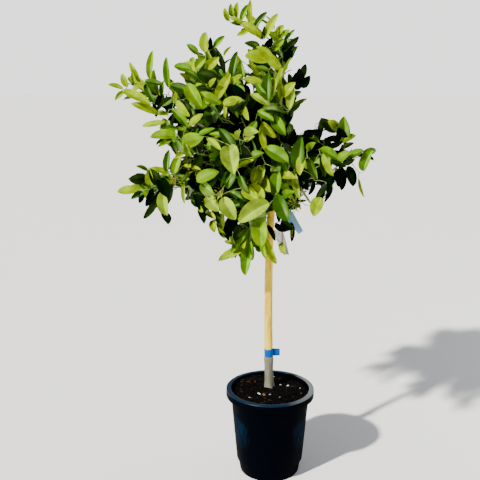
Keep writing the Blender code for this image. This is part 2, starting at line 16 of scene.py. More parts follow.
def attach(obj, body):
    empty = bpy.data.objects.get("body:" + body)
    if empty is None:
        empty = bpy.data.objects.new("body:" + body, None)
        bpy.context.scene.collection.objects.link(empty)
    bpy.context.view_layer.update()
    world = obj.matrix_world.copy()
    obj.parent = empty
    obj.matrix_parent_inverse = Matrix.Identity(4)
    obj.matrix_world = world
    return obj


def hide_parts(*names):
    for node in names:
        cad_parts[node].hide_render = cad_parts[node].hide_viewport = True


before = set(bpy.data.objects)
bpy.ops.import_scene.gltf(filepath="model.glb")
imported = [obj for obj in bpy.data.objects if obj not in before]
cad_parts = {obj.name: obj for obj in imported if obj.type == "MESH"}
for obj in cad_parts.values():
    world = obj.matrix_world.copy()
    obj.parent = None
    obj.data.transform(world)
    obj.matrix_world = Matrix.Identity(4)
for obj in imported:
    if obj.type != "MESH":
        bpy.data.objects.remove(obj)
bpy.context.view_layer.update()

# Camera at the photograph's view
CAMERA_PLACE = (-0.113, -2.590, 1.500)
CAMERA_PITCH = math.radians(13.06)
CAMERA_LENS = 55.47
SENSOR = 36.0
FRAME_SIZE = 480
FOCAL = CAMERA_LENS / SENSOR * FRAME_SIZE

# Floor, surround and lights
FLOOR_HALF = 40.0
FLOOR_COLOUR = (0.90, 0.90, 0.89)
FLOOR_GLOSS = 0.1
FLOOR_ROUGHNESS = 0.85
FLOOR_SPECKS = (3.0, 3.0)
FLOOR_SPREAD = (0.80, 0.90)
SURROUND_STRENGTH = 1.99
HORIZON_TONE = (1.0, 1.0, 0.985)
SKY_TONE = (0.121, 0.128, 0.143)
ZENITH_TONE = (0.200, 0.207, 0.221)
SURROUND = ((0.10, HORIZON_TONE), (0.18, SKY_TONE), (1.0, ZENITH_TONE))
SUNWARD = Vector((-0.60, -0.55, 0.62))
KEY_STRENGTH = 9.5
KEY_ANGLE = math.radians(2.5)
KEY_COLOUR = (1.0, 0.97, 0.88)
SIDE_PLACE = (3.0, 0.9, 1.6)
SIDE_AIM = (0.0, 0.0, 0.9)
SIDE_SIZE = 1.6
SIDE_POWER = 25.0

# Pot: a rounded foot, a step, a tapered wall and a rolled rim with a skirt
POT_HEIGHT = 0.330
POT_SIDES = 144
FOOT_MIDDLE = 0.0005
FOOT_RING = 0.060
FOOT_RADIUS = 0.112
FOOT_FLAT = 0.006
FOOT_ROUND = 0.004
STEP_LINE = ((0.1155, 0.024), (0.1178, 0.038))
STEP_ROUND = 0.0035
STEP_HEIGHTS = (0.0445, 0.0515)
FOOT_HEIGHT = 0.048
WALL_RADIUS_LOW = 0.1250
WALL_RADIUS_TOP = 0.1484
WALL_THICKNESS = 0.003
WALL_HEIGHTS = (0.10, 0.16, 0.22, 0.28)
RIM_RADIUS = 0.165
RIM_DROP = 0.027
SKIRT_DEPTH = 0.010
SKIRT_THICKNESS = 0.004
SKIRT_ROUND = 0.0012
LIP_ROUND = 0.0035
INNER_ROUND = 0.004
INNER_FOOT = 0.25
INNER_RIM_ROWS = 2
SHARP_ANGLE = math.radians(50)

# The pot's finish: two blacks, each with its gloss, dark and light tone and roughness, the light tone that of
# its painted reflection; the rim's blacks are bluer, a painted reflection of the sky. Then its scuffs, and the
# dust that breaks up the painted reflection, as a noise's scale, detail and stretch. Then how its lighter
# patches of painted reflection come and go with the height, with the square of X and towards the front, and
# the rim's painted highlight with X
POT_BLACK = (0.008, (0.0002, 0.0005, 0.0016), (0.0003, 0.0060, 0.0170), 0.50)
# The rim's bluer blacks are a painted reflection of the sky
POT_RIM = (0.20, (0.0004, 0.0080, 0.0230), (0.0006, 0.0120, 0.0300), 0.30)
POT_SHEEN = (0.55, 0.78, 1.0, 1.0)
POT_SCUFFS = (26.0, 6.0, (1.0, 1.0, 0.35))
POT_DUST_AND_SHEEN = (90.0, 5.0, (1.0, 1.0, 0.30))
POT_SPREAD = (-0.10, 0.18)
POT_RELIEF = (0.12, 0.0010)
# The lighter patches are a painted reflection of the sky, broken up by dust
PATCH_HEIGHTS = ((0.06, 0.0), (0.14, 0.9), (0.22, 1.0), (0.28, 0.0))
PATCH_SIDES = ((0.0025, 0.0), (0.009, 1.0))
PATCH_DEPTH = 0.05
PATCH_FRONT = ((0.02, 0.0), (0.11, 1.0))
PATCH_TONES = (0.31, 0.54)
# A painted highlight on the rim's right: its colour, and where it comes in along X
RIM_PAINTED_HIGHLIGHT = (0.13, 0.15, 0.15)
PAINTED_HIGHLIGHT_SIDE = ((0.055, 0.0), (0.15, 0.9))

# Potting mix: level round the trunk, lower at the wall, with a mound at its back left. Each kind of lumps has
# its noise's scale, its place in that noise and its height
SOIL_EDGE_HEIGHT = 0.312
SOIL_TOP_HEIGHT = 0.320
SOIL_FLAT_RADIUS = 0.075
SOIL_SINK = 0.002
SOIL_LUMPS = ((30, 0.0, 0.0030), (95, 3.0, 0.0018))
SOIL_RINGS = 56
SOIL_SIDES = 150
SOIL_MIDDLE = 0.0008
MOUND_PLACE = (-0.060, 0.100)
MOUND_HEIGHT = 0.011
MOUND_SPREAD = 0.055
SOIL_COLOURS = {
    "soil_dark": (0.0007, 0.0006, 0.0006),
    "chip_dark": (0.0016, 0.0013, 0.0012),
    "chip_brown": (0.0200, 0.0130, 0.0085),
    "chip_pale": (0.1100, 0.0650, 0.0340),
    "perlite_white": (0.46, 0.50, 0.50),
    "chip_rust": (0.0550, 0.0210, 0.0110),
}
SOIL_TONES = (0.45, 1.7)
SOIL_FINISH = (0.92, 0.04)
SOIL_GRAIN = (420.0, 5.0)
SOIL_EDGES = (0.3, 0.7)
SOIL_RELIEF = (0.6, 0.0010)

# Chips scattered over the potting mix: how many, their least and greatest length, how flat they are and which
# of its colours they have
CHIP_KINDS = (
    (520, (0.0060, 0.0150), 0.28, 1),
    (700, (0.0030, 0.0070), 0.30, 1),
    (170, (0.0030, 0.0090), 0.25, 2),
    (260, (0.0012, 0.0028), 0.50, 2),
    (9, (0.0020, 0.0040), 0.30, 3),
    (10, (0.0012, 0.0024), 0.40, 4),
)
CHIP_SEED = 7
CHIP_MARGIN = 0.006
CHIP_STRETCH = 1.6
CHIP_RISE = 0.4
LUMP_TILT = 0.5
LUMP_LENGTHS = (0.6, 1.1)
LUMP_WIDTH = 0.55
LUMP_WIDTHS = (0.5, 1.1)

# A rust-brown patch of bark behind the trunk's left
RUST_PLACE = (-0.080, 0.078)
RUST_SPREAD = 0.014
RUST_COUNT = 70
RUST_LENGTHS = (0.0015, 0.0040)
RUST_FLAT = 0.4
RUST_RISE = 0.2
RUST_COLOUR = 5

# The white and the pale chips that stand out in the photograph, read off it: each one's place in pixels of its
# frame, length, turn in degrees and colour
SEEN_CHIPS = (
    (259, 394.5, 0.0130, -50, 4), (270, 395.5, 0.0080, 10, 4), (249.5, 397.5, 0.0070, 0, 4),
    (280, 398, 0.0050, 60, 4), (280.5, 385.5, 0.0070, -20, 4), (288, 386.5, 0.0110, 35, 4),
    (300, 388, 0.0075, 50, 4), (274, 376.5, 0.0050, 0, 4), (264, 396, 0.0220, -55, 3),
    (243, 386, 0.0080, 20, 3), (293, 397, 0.0080, 60, 3), (301, 393, 0.0060, -30, 3),
)
SEEN_CHIP_PARTS = (2, 5, 8)
CHIP_LIFT = 0.0060

# Trunk, as the (x, y) of its middle at evenly spaced heights from its foot to the leader's tip
TRUNK_FOOT_HEIGHT = SOIL_TOP_HEIGHT - 0.004
TRUNK_TIP_HEIGHT = 1.500
TRUNK_LINE = ((-0.002, 0.030), (-0.0075, 0.030), (-0.0045, 0.030), (0.0115, 0.030), (0.036, 0.022))
TRUNK_STATIONS = 221
TRUNK_SIDES = 36
TRUNK_FOOT_RADIUS = 0.0150
TRUNK_HEAD_RADIUS = 0.0120
HEAD_HEIGHT = 1.000
LEADER_TIP_RADIUS = 0.0042
FLARE = 0.0065
FLARE_HEIGHT = 0.016
FLARE_RIDGES = 5
FLARE_RIDGE = 0.3
GRAFT_HEIGHT = 0.430
GRAFT_BULGE = 0.0020
GRAFT_SPAN = 0.020
FORK_SWELL = 0.0012
FORK_SPAN = 0.018
BARK = 0.0015

# Bark: the scales of its relief round the trunk and up it, with the relief's height, then its streaks and
# cross marks, and its colours over the streaks: straw, a dark grey low on the trunk that is painted shade, and
# green near the tip
BARK_LUMPS = (1.2, 14.0, 0.0007)
BARK_GRAIN = (9.0, 60.0, 0.00025)
BARK_ROUGHNESS = 0.75
BARK_RELIEF = (0.5, 0.0012)
STREAK_SCALE = 90.0
STREAK_DETAIL = 5.0
STREAK_STRETCH = (1.0, 1.0, 0.12)
MARK_SCALE = 260.0
MARK_DETAIL = 2.0
MARK_STRETCH = (0.35, 0.35, 1.6)
MARK_SHARE = 0.8
# Below this height the bark takes the grey of painted shade
PAINTED_SHADE_HEIGHT = 0.450
GREEN_WOOD_HEIGHT = 1.330
BARKS = {
    "bark_straw": ((0.28, (0.45, 0.24, 0.005)), (0.50, (0.68, 0.47, 0.01)), (0.75, (0.82, 0.62, 0.02))),
    "bark_painted_shade": ((0.30, (0.075, 0.066, 0.042)), (0.70, (0.16, 0.15, 0.108))),
    "bark_young": ((0.30, (0.17, 0.19, 0.010)), (0.70, (0.36, 0.36, 0.020))),
}
BOUGH_BARK = ((0.30, (0.10, 0.075, 0.035)), (0.70, (0.24, 0.20, 0.09)))
TWIG_BARKS = {
    "twig_green": ((0.35, (0.08, 0.15, 0.02)), (0.65, (0.20, 0.30, 0.05))),
    "twig_ochre": ((0.35, (0.18, 0.16, 0.004)), (0.65, (0.36, 0.34, 0.008))),
}
TWIG_BARK_SCALE = 2.0
BARK_MARKS = ((0.30, (0.55, 0.48, 0.36)), (0.42, (1.0, 1.0, 1.0)))

# The marker tape's and the two label bands' middle heights and half widths, where the bark stays thin
STRAPS = ((0.458, 0.015), (1.015, 0.006), (0.925, 0.006))
STRAP_EASE = 0.010

# Films of the tape and the labels, straw on the labels' bands: each one's material, its colours along X and
# its roughness. The upper label is all in a blue grey of painted shade, and the lower label's grey end is a
# painted shadow
TAPE_BLUE = (0.0001, 0.070, 0.330)
BAND_STRAW = (0.68, 0.47, 0.08)
LABEL_SHADED = (0.24, 0.41, 0.62)
LABEL_WHITE = (0.86, 0.86, 0.80)
LABEL_PAINTED_SHADOW = (0.25, 0.24, 0.21)
LOWER_LABEL = ((0.012, BAND_STRAW), (0.013, LABEL_WHITE), (0.0360, LABEL_WHITE), (0.0380, LABEL_PAINTED_SHADOW))
FILMS = {
    "marker_tape": ("tape_blue", ((0.0, TAPE_BLUE), (1.0, TAPE_BLUE)), 0.55),
    "label_upper": ("label_painted_shade", ((0.020, BAND_STRAW), (0.022, LABEL_SHADED)), 0.45),
    "label_lower": ("label_pale", LOWER_LABEL, 0.45),
}
FILM_GLOSS = 0.03
FILM_CREASES = (70.0, 3.0)
CREASE_SHADES = ((0.3, 0.75), (0.7, 1.0))
FILM_RELIEF = (0.3, 0.0010)

# Boughs: stations and sides of each, how far it arches over the line to its tip, its collar and its grain
BOUGH_STATIONS = 25
BOUGH_SIDES = 14
BOUGH_ARCH = 0.10
COLLAR = 0.45
COLLAR_SPAN = 0.018
BOUGH_GRAIN = 0.10
BOUGH_GRAIN_SCALE = 90.0

# Stems and twigs: how they are spaced, turned and bent, how far they reach and how thick they are. A side
# direction is taken off the first of these vectors for a steep line and off the second for a flat one
STEEP_SIDE = Vector((0.31, 0.95, 0.0))
FLAT_SIDE = Vector((0.0, 0.0, 1.0))
STEEP = 0.6
GROWTH_SEED = 100
SPUR_SEED = 500
GOLDEN_ANGLE = math.radians(137.5)
TWIG_TURNS = tuple(math.radians(a) for a in (0, 40, -40, 90, -90))
LEAF_TURNS = (*TWIG_TURNS, math.radians(140))
STEM_STATIONS = 17
STEM_RADIUS = 0.0036
STEM_TIP_RADIUS = 0.0014
STEM_RISE = 0.08
STEM_FOLLOW = 0.45
STEM_STEP = 0.023
STEM_TWIGS = (0.10, 0.95)
TWIG_SIDES = 5
TWIG_RADIUS = 0.0018
TWIG_TIP_RADIUS = 0.0009
TWIG_STAND = 0.20
TWIG_LEAN = (45, 70)
TWIG_RISE = 0.15
TWIG_CLEAR = 0.003
TWIG_REACH = (0.60, 0.90)
TWIG_SHORTER = (1.0, 0.75, 0.5)
TWIG_STATIONS = 7
TWIG_BARE = 0.22
STEM_BARE = 0.12
FINE_TWIGS = (0.40, 0.72, 2)
FINE_DENSITY = 1.3
FINE_TURN = math.pi * 0.9
FINE_REACH = 0.5
FINE_THICKNESS = 0.7
YOUNG_REACH = 0.45
TOP_REACH = 0.30
SPUR_STEP = 0.030
SPUR_REACH = (0.045, 0.085)
SPUR_FIRST = 0.25
TRUNK_SPUR_FIRST = 0.60
LAST_SHARE = 0.97

# Leaves: their step along a twig, their true sizes, how they lean, tilt and fold, the room each one keeps,
# and how much smaller and paler young ones are towards a twig's tip
LEAF_STEP = 0.016
LEAF_LENGTH = 0.098
LEAF_WIDTH = 0.55
LEAF_SIZES = (0.70, 0.80, 0.88, 0.95, 1.0, 1.05, 1.10, 1.22)
LENGTH_JITTER = (0.94, 1.06)
WIDTH_JITTER = (0.88, 1.10)
LEAF_LEAN = (30, 85)
LEAF_TILT = 0.38
LEAF_FOLD = (0.06, 0.34)
YOUNG_FOLD = 0.45
LEAF_FACING = (0.30, 0.50, 0.45)
LEAF_STAND = 0.60
LEAF_APART = 0.036
LEAF_STACK = 2.2
LEAF_CLEAR = 0.004
PROBE_WIDTH = 0.45
PROBES_ALONG = (0.0, 0.2, 0.4, 0.6, 0.8)
PROBES_BESIDE = ((0.25, -0.9), (0.25, 0.9), (0.75, -0.9), (0.75, 0.9))
PETIOLE = 0.011
PETIOLE_RADII = (0.0009, 0.0007)
SEAT = 0.001
YOUNG_SMALLER = 0.25
YOUNG_PALER = 0.7
END_SHARE = 0.99
END_SIZE = 0.75
END_PALER = 0.9

# A leaf's shape, in shares of its length and half width: its outline's size and powers towards root and tip,
# its least half widths, and its fold, arch, groove and curl
LEAF_OUTLINE = (2.2455, 0.55, 0.62)
RIB_EDGE = 0.1
ROOT_HALF = 0.035
LEAST_HALF = 0.012
RIB_HALF = 0.35
FOLD_EASE = 0.35
LEAF_ARCH = 0.02
RIB_GROOVE = 0.004
CURL_DRAW = 0.3
LEAF_CURL = (0.04, 0.30)
LEAF_WAVE = (0.003, 0.014)
LEAF_BEND = 0.10
LEAF_WAVES = 3.2
LEAF_ROWS = (0.0, 0.04, 0.12, 0.25, 0.40, 0.55, 0.70, 0.82, 0.91, 0.97, 1.0)
LEAF_COLUMNS = (-1.0, -0.55, -0.045, 0.045, 0.55, 1.0)

# Each bough: the limb it leaves, the share of that limb's length where it does, its tip, and its root and
# tip radii
BOUGHS = {
    "bough_left": ("trunk", 0.632, (-0.255, -0.030, 1.315), 0.0085, 0.0042),
    "bough_upper_left": ("bough_left", 0.36, (-0.160, 0.000, 1.345), 0.0056, 0.0042),
    "bough_left_middle": ("bough_left", 0.50, (-0.215, -0.085, 1.215), 0.0050, 0.0040),
    "bough_left_near": ("trunk", 0.671, (-0.130, -0.055, 1.165), 0.0060, 0.0040),
    "bough_lower_left": ("trunk", 0.606, (-0.230, 0.010, 1.090), 0.0075, 0.0042),
    "bough_low_left_front": ("bough_lower_left", 0.42, (-0.140, -0.070, 1.030), 0.0050, 0.0040),
    "bough_front": ("trunk", 0.659, (-0.060, -0.115, 1.165), 0.0075, 0.0042),
    "bough_upper_front": ("bough_front", 0.45, (-0.095, -0.075, 1.310), 0.0050, 0.0040),
    "bough_front_right": ("trunk", 0.691, (0.030, -0.100, 1.150), 0.0065, 0.0042),
    "bough_right": ("trunk", 0.638, (0.155, 0.015, 1.125), 0.0085, 0.0042),
    "bough_right_near": ("bough_right", 0.42, (0.095, -0.050, 1.140), 0.0052, 0.0040),
    "bough_right_low": ("bough_right", 0.50, (0.135, 0.055, 1.035), 0.0050, 0.0040),
    "bough_back_right": ("trunk", 0.665, (0.095, 0.145, 1.180), 0.0075, 0.0042),
    "bough_back_right_low": ("bough_back_right", 0.42, (0.095, 0.130, 1.045), 0.0050, 0.0040),
    "bough_back": ("trunk", 0.680, (-0.020, 0.165, 1.165), 0.0075, 0.0042),
    "bough_back_low": ("bough_back", 0.36, (-0.030, 0.150, 1.040), 0.0050, 0.0040),
    "bough_back_left": ("trunk", 0.649, (-0.130, 0.130, 1.245), 0.0080, 0.0042),
    "bough_back_left_low": ("bough_back_left", 0.42, (-0.145, 0.135, 1.090), 0.0050, 0.0040),
    "bough_back_top": ("trunk", 0.801, (-0.035, 0.110, 1.345), 0.0055, 0.0040),
    "bough_low_front": ("trunk", 0.618, (-0.035, -0.075, 1.005), 0.0060, 0.0040),
}

# Each mass: the limb its stem grows from, the share of that limb's length where it does (1 is its tip), the
# stem's tip, how far the mass spreads round its stem, how its leaves stand, from -1 for hanging to 1 for
# upright, and how sunlit they are, from 0 for deep shade to 1 for full sun
MASSES = {
    "foliage_top_shoot": ("trunk", 1.0, (-0.135, -0.020, 1.646), 0.085, 0.9, 0.90),
    "foliage_top_right": ("trunk", 0.941, (0.035, 0.045, 1.572), 0.070, 0.7, 0.60),
    "foliage_leader_front": ("trunk", 0.898, (-0.060, -0.095, 1.465), 0.100, 0.3, 0.75),
    "foliage_upper_right": ("trunk", 0.864, (0.080, 0.050, 1.470), 0.070, 0.4, 0.25),
    "foliage_leader_left": ("trunk", 0.765, (-0.070, -0.030, 1.360), 0.085, 0.2, 0.50),
    "foliage_leader_right": ("trunk", 0.780, (0.058, -0.045, 1.375), 0.074, 0.2, 0.40),
    "foliage_upper_left": ("bough_upper_left", 1.0, (-0.222, -0.025, 1.535), 0.110, 0.7, 0.70),
    "foliage_upper_front": ("bough_upper_front", 1.0, (-0.165, -0.150, 1.445), 0.110, 0.4, 0.75),
    "foliage_left": ("bough_left", 1.0, (-0.488, -0.050, 1.452), 0.088, 0.9, 0.95),
    "foliage_left_middle": ("bough_left_middle", 1.0, (-0.350, -0.125, 1.330), 0.100, 0.1, 0.70),
    "foliage_left_near": ("bough_left_near", 1.0, (-0.275, -0.120, 1.205), 0.110, -0.2, 0.40),
    "foliage_lower_left": ("bough_lower_left", 1.0, (-0.460, 0.000, 1.080), 0.088, -0.3, 0.35),
    "foliage_front": ("bough_front", 1.0, (-0.130, -0.255, 1.235), 0.130, -0.1, 0.55),
    "foliage_front_right": ("bough_front_right", 1.0, (0.045, -0.245, 1.215), 0.125, -0.1, 0.45),
    "foliage_right_near": ("bough_right_near", 1.0, (0.145, -0.130, 1.180), 0.100, -0.2, 0.30),
    "foliage_right": ("bough_right", 1.0, (0.278, 0.000, 1.228), 0.105, 0.3, 0.35),
    "foliage_right_low": ("bough_right_low", 1.0, (0.240, 0.060, 1.120), 0.075, -0.5, 0.10),
    "foliage_low_front": ("bough_low_front", 1.0, (-0.090, -0.220, 1.035), 0.115, -0.4, 0.50),
    "foliage_low_left_front": ("bough_low_left_front", 1.0, (-0.205, -0.155, 1.085), 0.088, -0.5, 0.35),
    "foliage_hanging": ("trunk", 0.587, (-0.095, -0.060, 0.880), 0.085, -1.0, 0.70),
    "foliage_low_right": ("trunk", 0.597, (0.075, -0.080, 1.050), 0.070, -0.5, 0.25),
    "foliage_back_top": ("bough_back_top", 1.0, (-0.065, 0.190, 1.480), 0.110, 0.5, 0.60),
    "foliage_back_left": ("bough_back_left", 1.0, (-0.268, 0.225, 1.380), 0.120, 0.2, 0.50),
    "foliage_back_left_low": ("bough_back_left_low", 1.0, (-0.280, 0.215, 1.090), 0.115, -0.4, 0.25),
    "foliage_back": ("bough_back", 1.0, (-0.025, 0.320, 1.240), 0.130, 0.0, 0.45),
    "foliage_back_right": ("bough_back_right", 1.0, (0.185, 0.245, 1.238), 0.115, 0.0, 0.35),
    "foliage_back_low": ("bough_back_low", 1.0, (-0.060, 0.260, 1.010), 0.110, -0.5, 0.25),
    "foliage_back_right_low": ("bough_back_right_low", 1.0, (0.160, 0.215, 1.095), 0.086, -0.4, 0.20),
}

# From which stand on a mass's leaves are sunlit and below which they are shaded, the colour slots, the middle
# of the crown, and the masses whose leaves lie further apart, with how many times as far
SUNLIT_STAND = 0.5
SHADED_STAND = -0.3
SLOTS = ("leaves_sunlit", "leaves_green", "leaves_shaded")
CROWN_MIDDLE = Vector((-0.06, 0.02, 1.20))
SPARSE = {"foliage_top_shoot": 1.8, "foliage_left": 1.7, "foliage_upper_left": 1.15}

# Leaves that stand out in the photograph, read off it. For each mass: the depth (y) of its hindmost leaf,
# then, from back to front, each leaf's root and tip and its width in pixels of the photograph's frame, and
# which of the greens it has
# The darker greens of the seen leaves are painted shade
SEEN_LEAVES = {
    "foliage_top_shoot": (-0.020, (
        (229, 21, 225, 8, 6, 5), (233, 17, 231, 4, 6, 4), (237, 18, 236, 2, 6, 5),
        (241, 21, 247, 4, 6, 3), (250, 25, 251, 0, 6, 5), (255, 27, 266, 11, 6, 2),
        (240, 25, 231, 22, 4, 2), (262, 39, 257, 28, 6, 1), (244, 24, 230, 16, 5, 5),
        (258, 35, 242, 22, 9, 5), (262, 38, 250, 26, 7, 5), (249, 30, 237, 36, 5, 5),
        (262, 39, 264, 27, 4, 1), (264, 39, 277, 13, 8, 5),
    )),
    "foliage_top_right": (0.030, (
        (277, 60, 262, 44, 9, 1), (281, 56, 270, 44, 7, 2), (290, 56, 297, 47, 5, 2),
        (284, 62, 294, 45, 9, 0), (281, 52, 299, 37, 7, 1), (277, 34, 282, 26, 7, 5),
        (284, 41, 295, 30, 4, 3), (279, 38, 288, 30, 6, 4), (278, 40, 268, 32, 7, 4),
        (266, 46, 272, 40, 7, 0), (273, 50, 282, 39, 8, 4), (283, 76, 291, 57, 3, 4),
    )),
    "foliage_leader_front": (-0.130, (
        (259, 48, 246, 41, 7, 2), (272, 57, 257, 46, 7, 5), (271, 65, 252, 61, 7, 1),
        (269, 60, 245, 54, 13, 5), (281, 70, 264, 49, 10, 5), (268, 70, 254, 67, 5, 3),
        (259, 76, 251, 65, 5, 5), (266, 76, 260, 72, 4, 5), (262, 82, 243, 78, 7, 5),
        (281, 100, 279, 68, 5, 5), (289, 109, 294, 84, 9, 6), (283, 97, 293, 81, 9, 5),
        (269, 105, 251, 92, 8, 6), (266, 97, 257, 84, 7, 3), (270, 101, 273, 74, 9, 6),
        (268, 101, 265, 72, 11, 2),
    )),
    "foliage_leader_right": (-0.110, (
        (290, 110, 306, 97, 5, 4), (289, 112, 300, 105, 4, 1), (273, 116, 284, 134, 12, 3),
        (258, 112, 273, 120, 9, 3), (262, 109, 286, 112, 9, 2), (262, 122, 276, 137, 8, 5),
        (262, 124, 264, 152, 7, 5),
    )),
    "foliage_upper_right": (0.050, (
        (298, 82, 306, 64, 8, 1), (291, 91, 290, 73, 7, 1), (288, 88, 284, 77, 5, 2),
        (292, 88, 297, 74, 7, 0), (300, 86, 310, 79, 9, 0), (296, 90, 301, 68, 10, 0),
    )),
    "foliage_upper_left": (-0.030, (
        (216, 58, 212, 45, 9, 1), (198, 54, 187, 45, 7, 3), (192, 70, 174, 66, 9, 3),
        (196, 84, 184, 76, 7, 2), (198, 78, 187, 71, 6, 3), (209, 50, 211, 38, 5, 0),
        (205, 52, 204, 32, 10, 5), (214, 48, 224, 35, 6, 3), (224, 74, 219, 48, 5, 1),
        (224, 56, 229, 46, 3, 6), (196, 68, 204, 57, 8, 4), (207, 68, 216, 57, 10, 5),
        (190, 80, 181, 73, 5, 5),
    )),
    "foliage_upper_front": (-0.140, (
        (232, 77, 237, 51, 8, 2), (243, 77, 241, 60, 8, 3), (218, 80, 197, 73, 14, 1),
        (244, 100, 226, 86, 16, 0), (209, 86, 214, 80, 5, 5), (230, 84, 242, 76, 6, 5),
        (216, 100, 231, 74, 10, 5), (221, 104, 196, 91, 10, 4), (226, 103, 226, 117, 4, 5),
        (243, 102, 235, 111, 9, 1), (244, 107, 248, 118, 6, 5), (223, 104, 243, 100, 9, 5),
    )),
    "foliage_left": (-0.050, (
        (123, 89, 109, 82, 5, 5), (124, 92, 115, 98, 5, 4), (127, 87, 121, 74, 7, 5),
        (140, 82, 130, 62, 6, 5), (135, 84, 132, 72, 4, 4), (150, 79, 150, 50, 7, 4),
        (169, 88, 165, 57, 7, 3), (163, 82, 161, 97, 5, 2), (160, 95, 156, 105, 5, 0),
        (163, 94, 158, 110, 6, 1), (153, 104, 158, 117, 5, 0), (172, 98, 163, 105, 7, 2),
        (176, 104, 162, 107, 6, 0), (145, 81, 164, 84, 6, 2), (145, 82, 153, 104, 6, 2),
        (133, 90, 146, 83, 5, 5), (122, 91, 153, 102, 9, 5),
    )),
    "foliage_left_middle": (-0.110, (
        (158, 114, 132, 101, 8, 5), (165, 122, 142, 126, 6, 5), (166, 140, 157, 143, 3, 2),
        (190, 91, 170, 87, 11, 2), (176, 136, 150, 134, 10, 4), (172, 139, 160, 146, 5, 4),
        (170, 141, 177, 155, 6, 1), (176, 141, 186, 153, 8, 2), (183, 143, 193, 154, 9, 3),
        (186, 151, 176, 157, 5, 5), (184, 101, 193, 122, 7, 1), (172, 110, 190, 125, 9, 3),
        (177, 101, 189, 116, 8, 5), (187, 84, 200, 108, 14, 4), (189, 125, 203, 115, 7, 5),
        (190, 156, 185, 145, 6, 4), (182, 143, 202, 138, 15, 4),
    )),
    "foliage_left_near": (-0.120, (
        (167, 172, 167, 149, 7, 2), (174, 173, 178, 153, 9, 4), (194, 168, 200, 154, 10, 1),
        (183, 166, 201, 168, 4, 5), (201, 183, 213, 194, 11, 3), (206, 213, 214, 218, 6, 5),
        (212, 207, 220, 221, 7, 1), (206, 197, 219, 208, 13, 6), (197, 181, 218, 169, 12, 4),
    )),
    "foliage_lower_left": (0.000, (
        (137, 190, 118, 191, 9, 5), (148, 171, 137, 165, 4, 4), (152, 188, 147, 206, 7, 0),
        (142, 193, 139, 201, 6, 0), (143, 192, 134, 198, 6, 2), (146, 177, 131, 180, 11, 1),
        (169, 173, 151, 168, 6, 5), (158, 198, 144, 218, 7, 1), (171, 184, 169, 205, 4, 1),
        (184, 184, 183, 203, 4, 6), (151, 185, 147, 169, 8, 5), (158, 184, 151, 170, 11, 1),
        (160, 178, 166, 196, 13, 0), (164, 213, 167, 223, 9, 0), (163, 191, 164, 217, 11, 6),
    )),
    "foliage_front": (-0.230, (
        (199, 135, 212, 128, 5, 3), (236, 138, 241, 132, 7, 6), (245, 141, 252, 137, 5, 6),
        (244, 133, 258, 131, 9, 6), (207, 138, 220, 149, 6, 5), (253, 157, 263, 152, 8, 3),
        (236, 168, 254, 160, 5, 5), (240, 176, 245, 192, 7, 2), (230, 192, 241, 199, 6, 2),
        (222, 198, 234, 218, 15, 6), (250, 185, 264, 196, 10, 5), (243, 189, 256, 199, 12, 5),
        (229, 146, 232, 171, 19, 6),
    )),
    "foliage_front_right": (-0.220, (
        (307, 150, 313, 144, 7, 4), (310, 160, 314, 178, 8, 3), (257, 167, 252, 181, 7, 6),
        (263, 166, 261, 182, 8, 6), (265, 179, 270, 190, 8, 5), (283, 175, 291, 176, 8, 5),
        (294, 171, 300, 198, 7, 6), (278, 171, 276, 196, 12, 3), (301, 168, 303, 138, 8, 6),
        (299, 170, 298, 136, 13, 2), (303, 155, 300, 172, 9, 5), (326, 184, 318, 196, 6, 1),
        (314, 180, 311, 194, 4, 0), (265, 148, 289, 162, 14, 3), (319, 197, 315, 214, 13, 5),
    )),
    "foliage_right_near": (-0.110, (
        (315, 163, 320, 182, 10, 0), (325, 168, 328, 193, 9, 0), (320, 149, 339, 158, 9, 3),
        (321, 155, 327, 176, 8, 1), (323, 154, 333, 176, 7, 5),
    )),
    "foliage_right": (0.000, (
        (359, 178, 363, 197, 3, 5), (343, 148, 352, 143, 5, 3), (344, 164, 353, 161, 5, 1),
        (311, 137, 317, 141, 5, 3), (304, 137, 320, 130, 9, 0), (339, 130, 319, 119, 11, 1),
        (338, 129, 330, 122, 9, 5), (344, 140, 346, 117, 14, 3), (342, 140, 341, 128, 11, 0),
        (340, 142, 354, 134, 8, 4), (348, 157, 363, 151, 8, 3), (363, 171, 369, 148, 10, 3),
        (337, 161, 350, 153, 9, 4), (330, 160, 345, 166, 6, 1), (328, 146, 341, 144, 6, 0),
    )),
    "foliage_right_low": (0.040, (
        (336, 168, 339, 187, 8, 0), (340, 166, 343, 190, 9, 0), (348, 166, 352, 186, 10, 0),
        (318, 199, 325, 188, 6, 0),
    )),
    "foliage_low_front": (-0.280, (
        (284, 196, 292, 190, 8, 3), (281, 243, 283, 251, 6, 5), (267, 225, 275, 238, 5, 0),
        (276, 200, 279, 222, 6, 0), (277, 194, 288, 220, 14, 2), (264, 236, 275, 265, 8, 5),
        (262, 240, 264, 256, 5, 4), (269, 203, 236, 219, 17, 6), (261, 217, 259, 247, 16, 4),
    )),
    "foliage_low_left_front": (-0.155, (
        (195, 194, 199, 207, 7, 0), (199, 205, 202, 211, 4, 5), (199, 209, 204, 222, 7, 0),
        (213, 220, 213, 231, 7, 5),
    )),
    "foliage_hanging": (-0.060, (
        (222, 226, 231, 238, 9, 0), (218, 221, 223, 233, 7, 1), (234, 216, 228, 233, 13, 0),
        (240, 225, 235, 238, 9, 1), (226, 238, 217, 228, 5, 5), (227, 240, 234, 243, 8, 6),
        (221, 213, 220, 226, 8, 6), (245, 240, 243, 247, 4, 5), (247, 247, 218, 258, 9, 5),
        (249, 229, 229, 250, 8, 3), (251, 241, 244, 275, 11, 3),
    )),
    "foliage_low_right": (-0.070, (
        (275, 224, 284, 231, 6, 0), (281, 222, 291, 229, 10, 1), (291, 222, 293, 241, 5, 0),
        (293, 225, 292, 236, 3, 5),
    )),
}

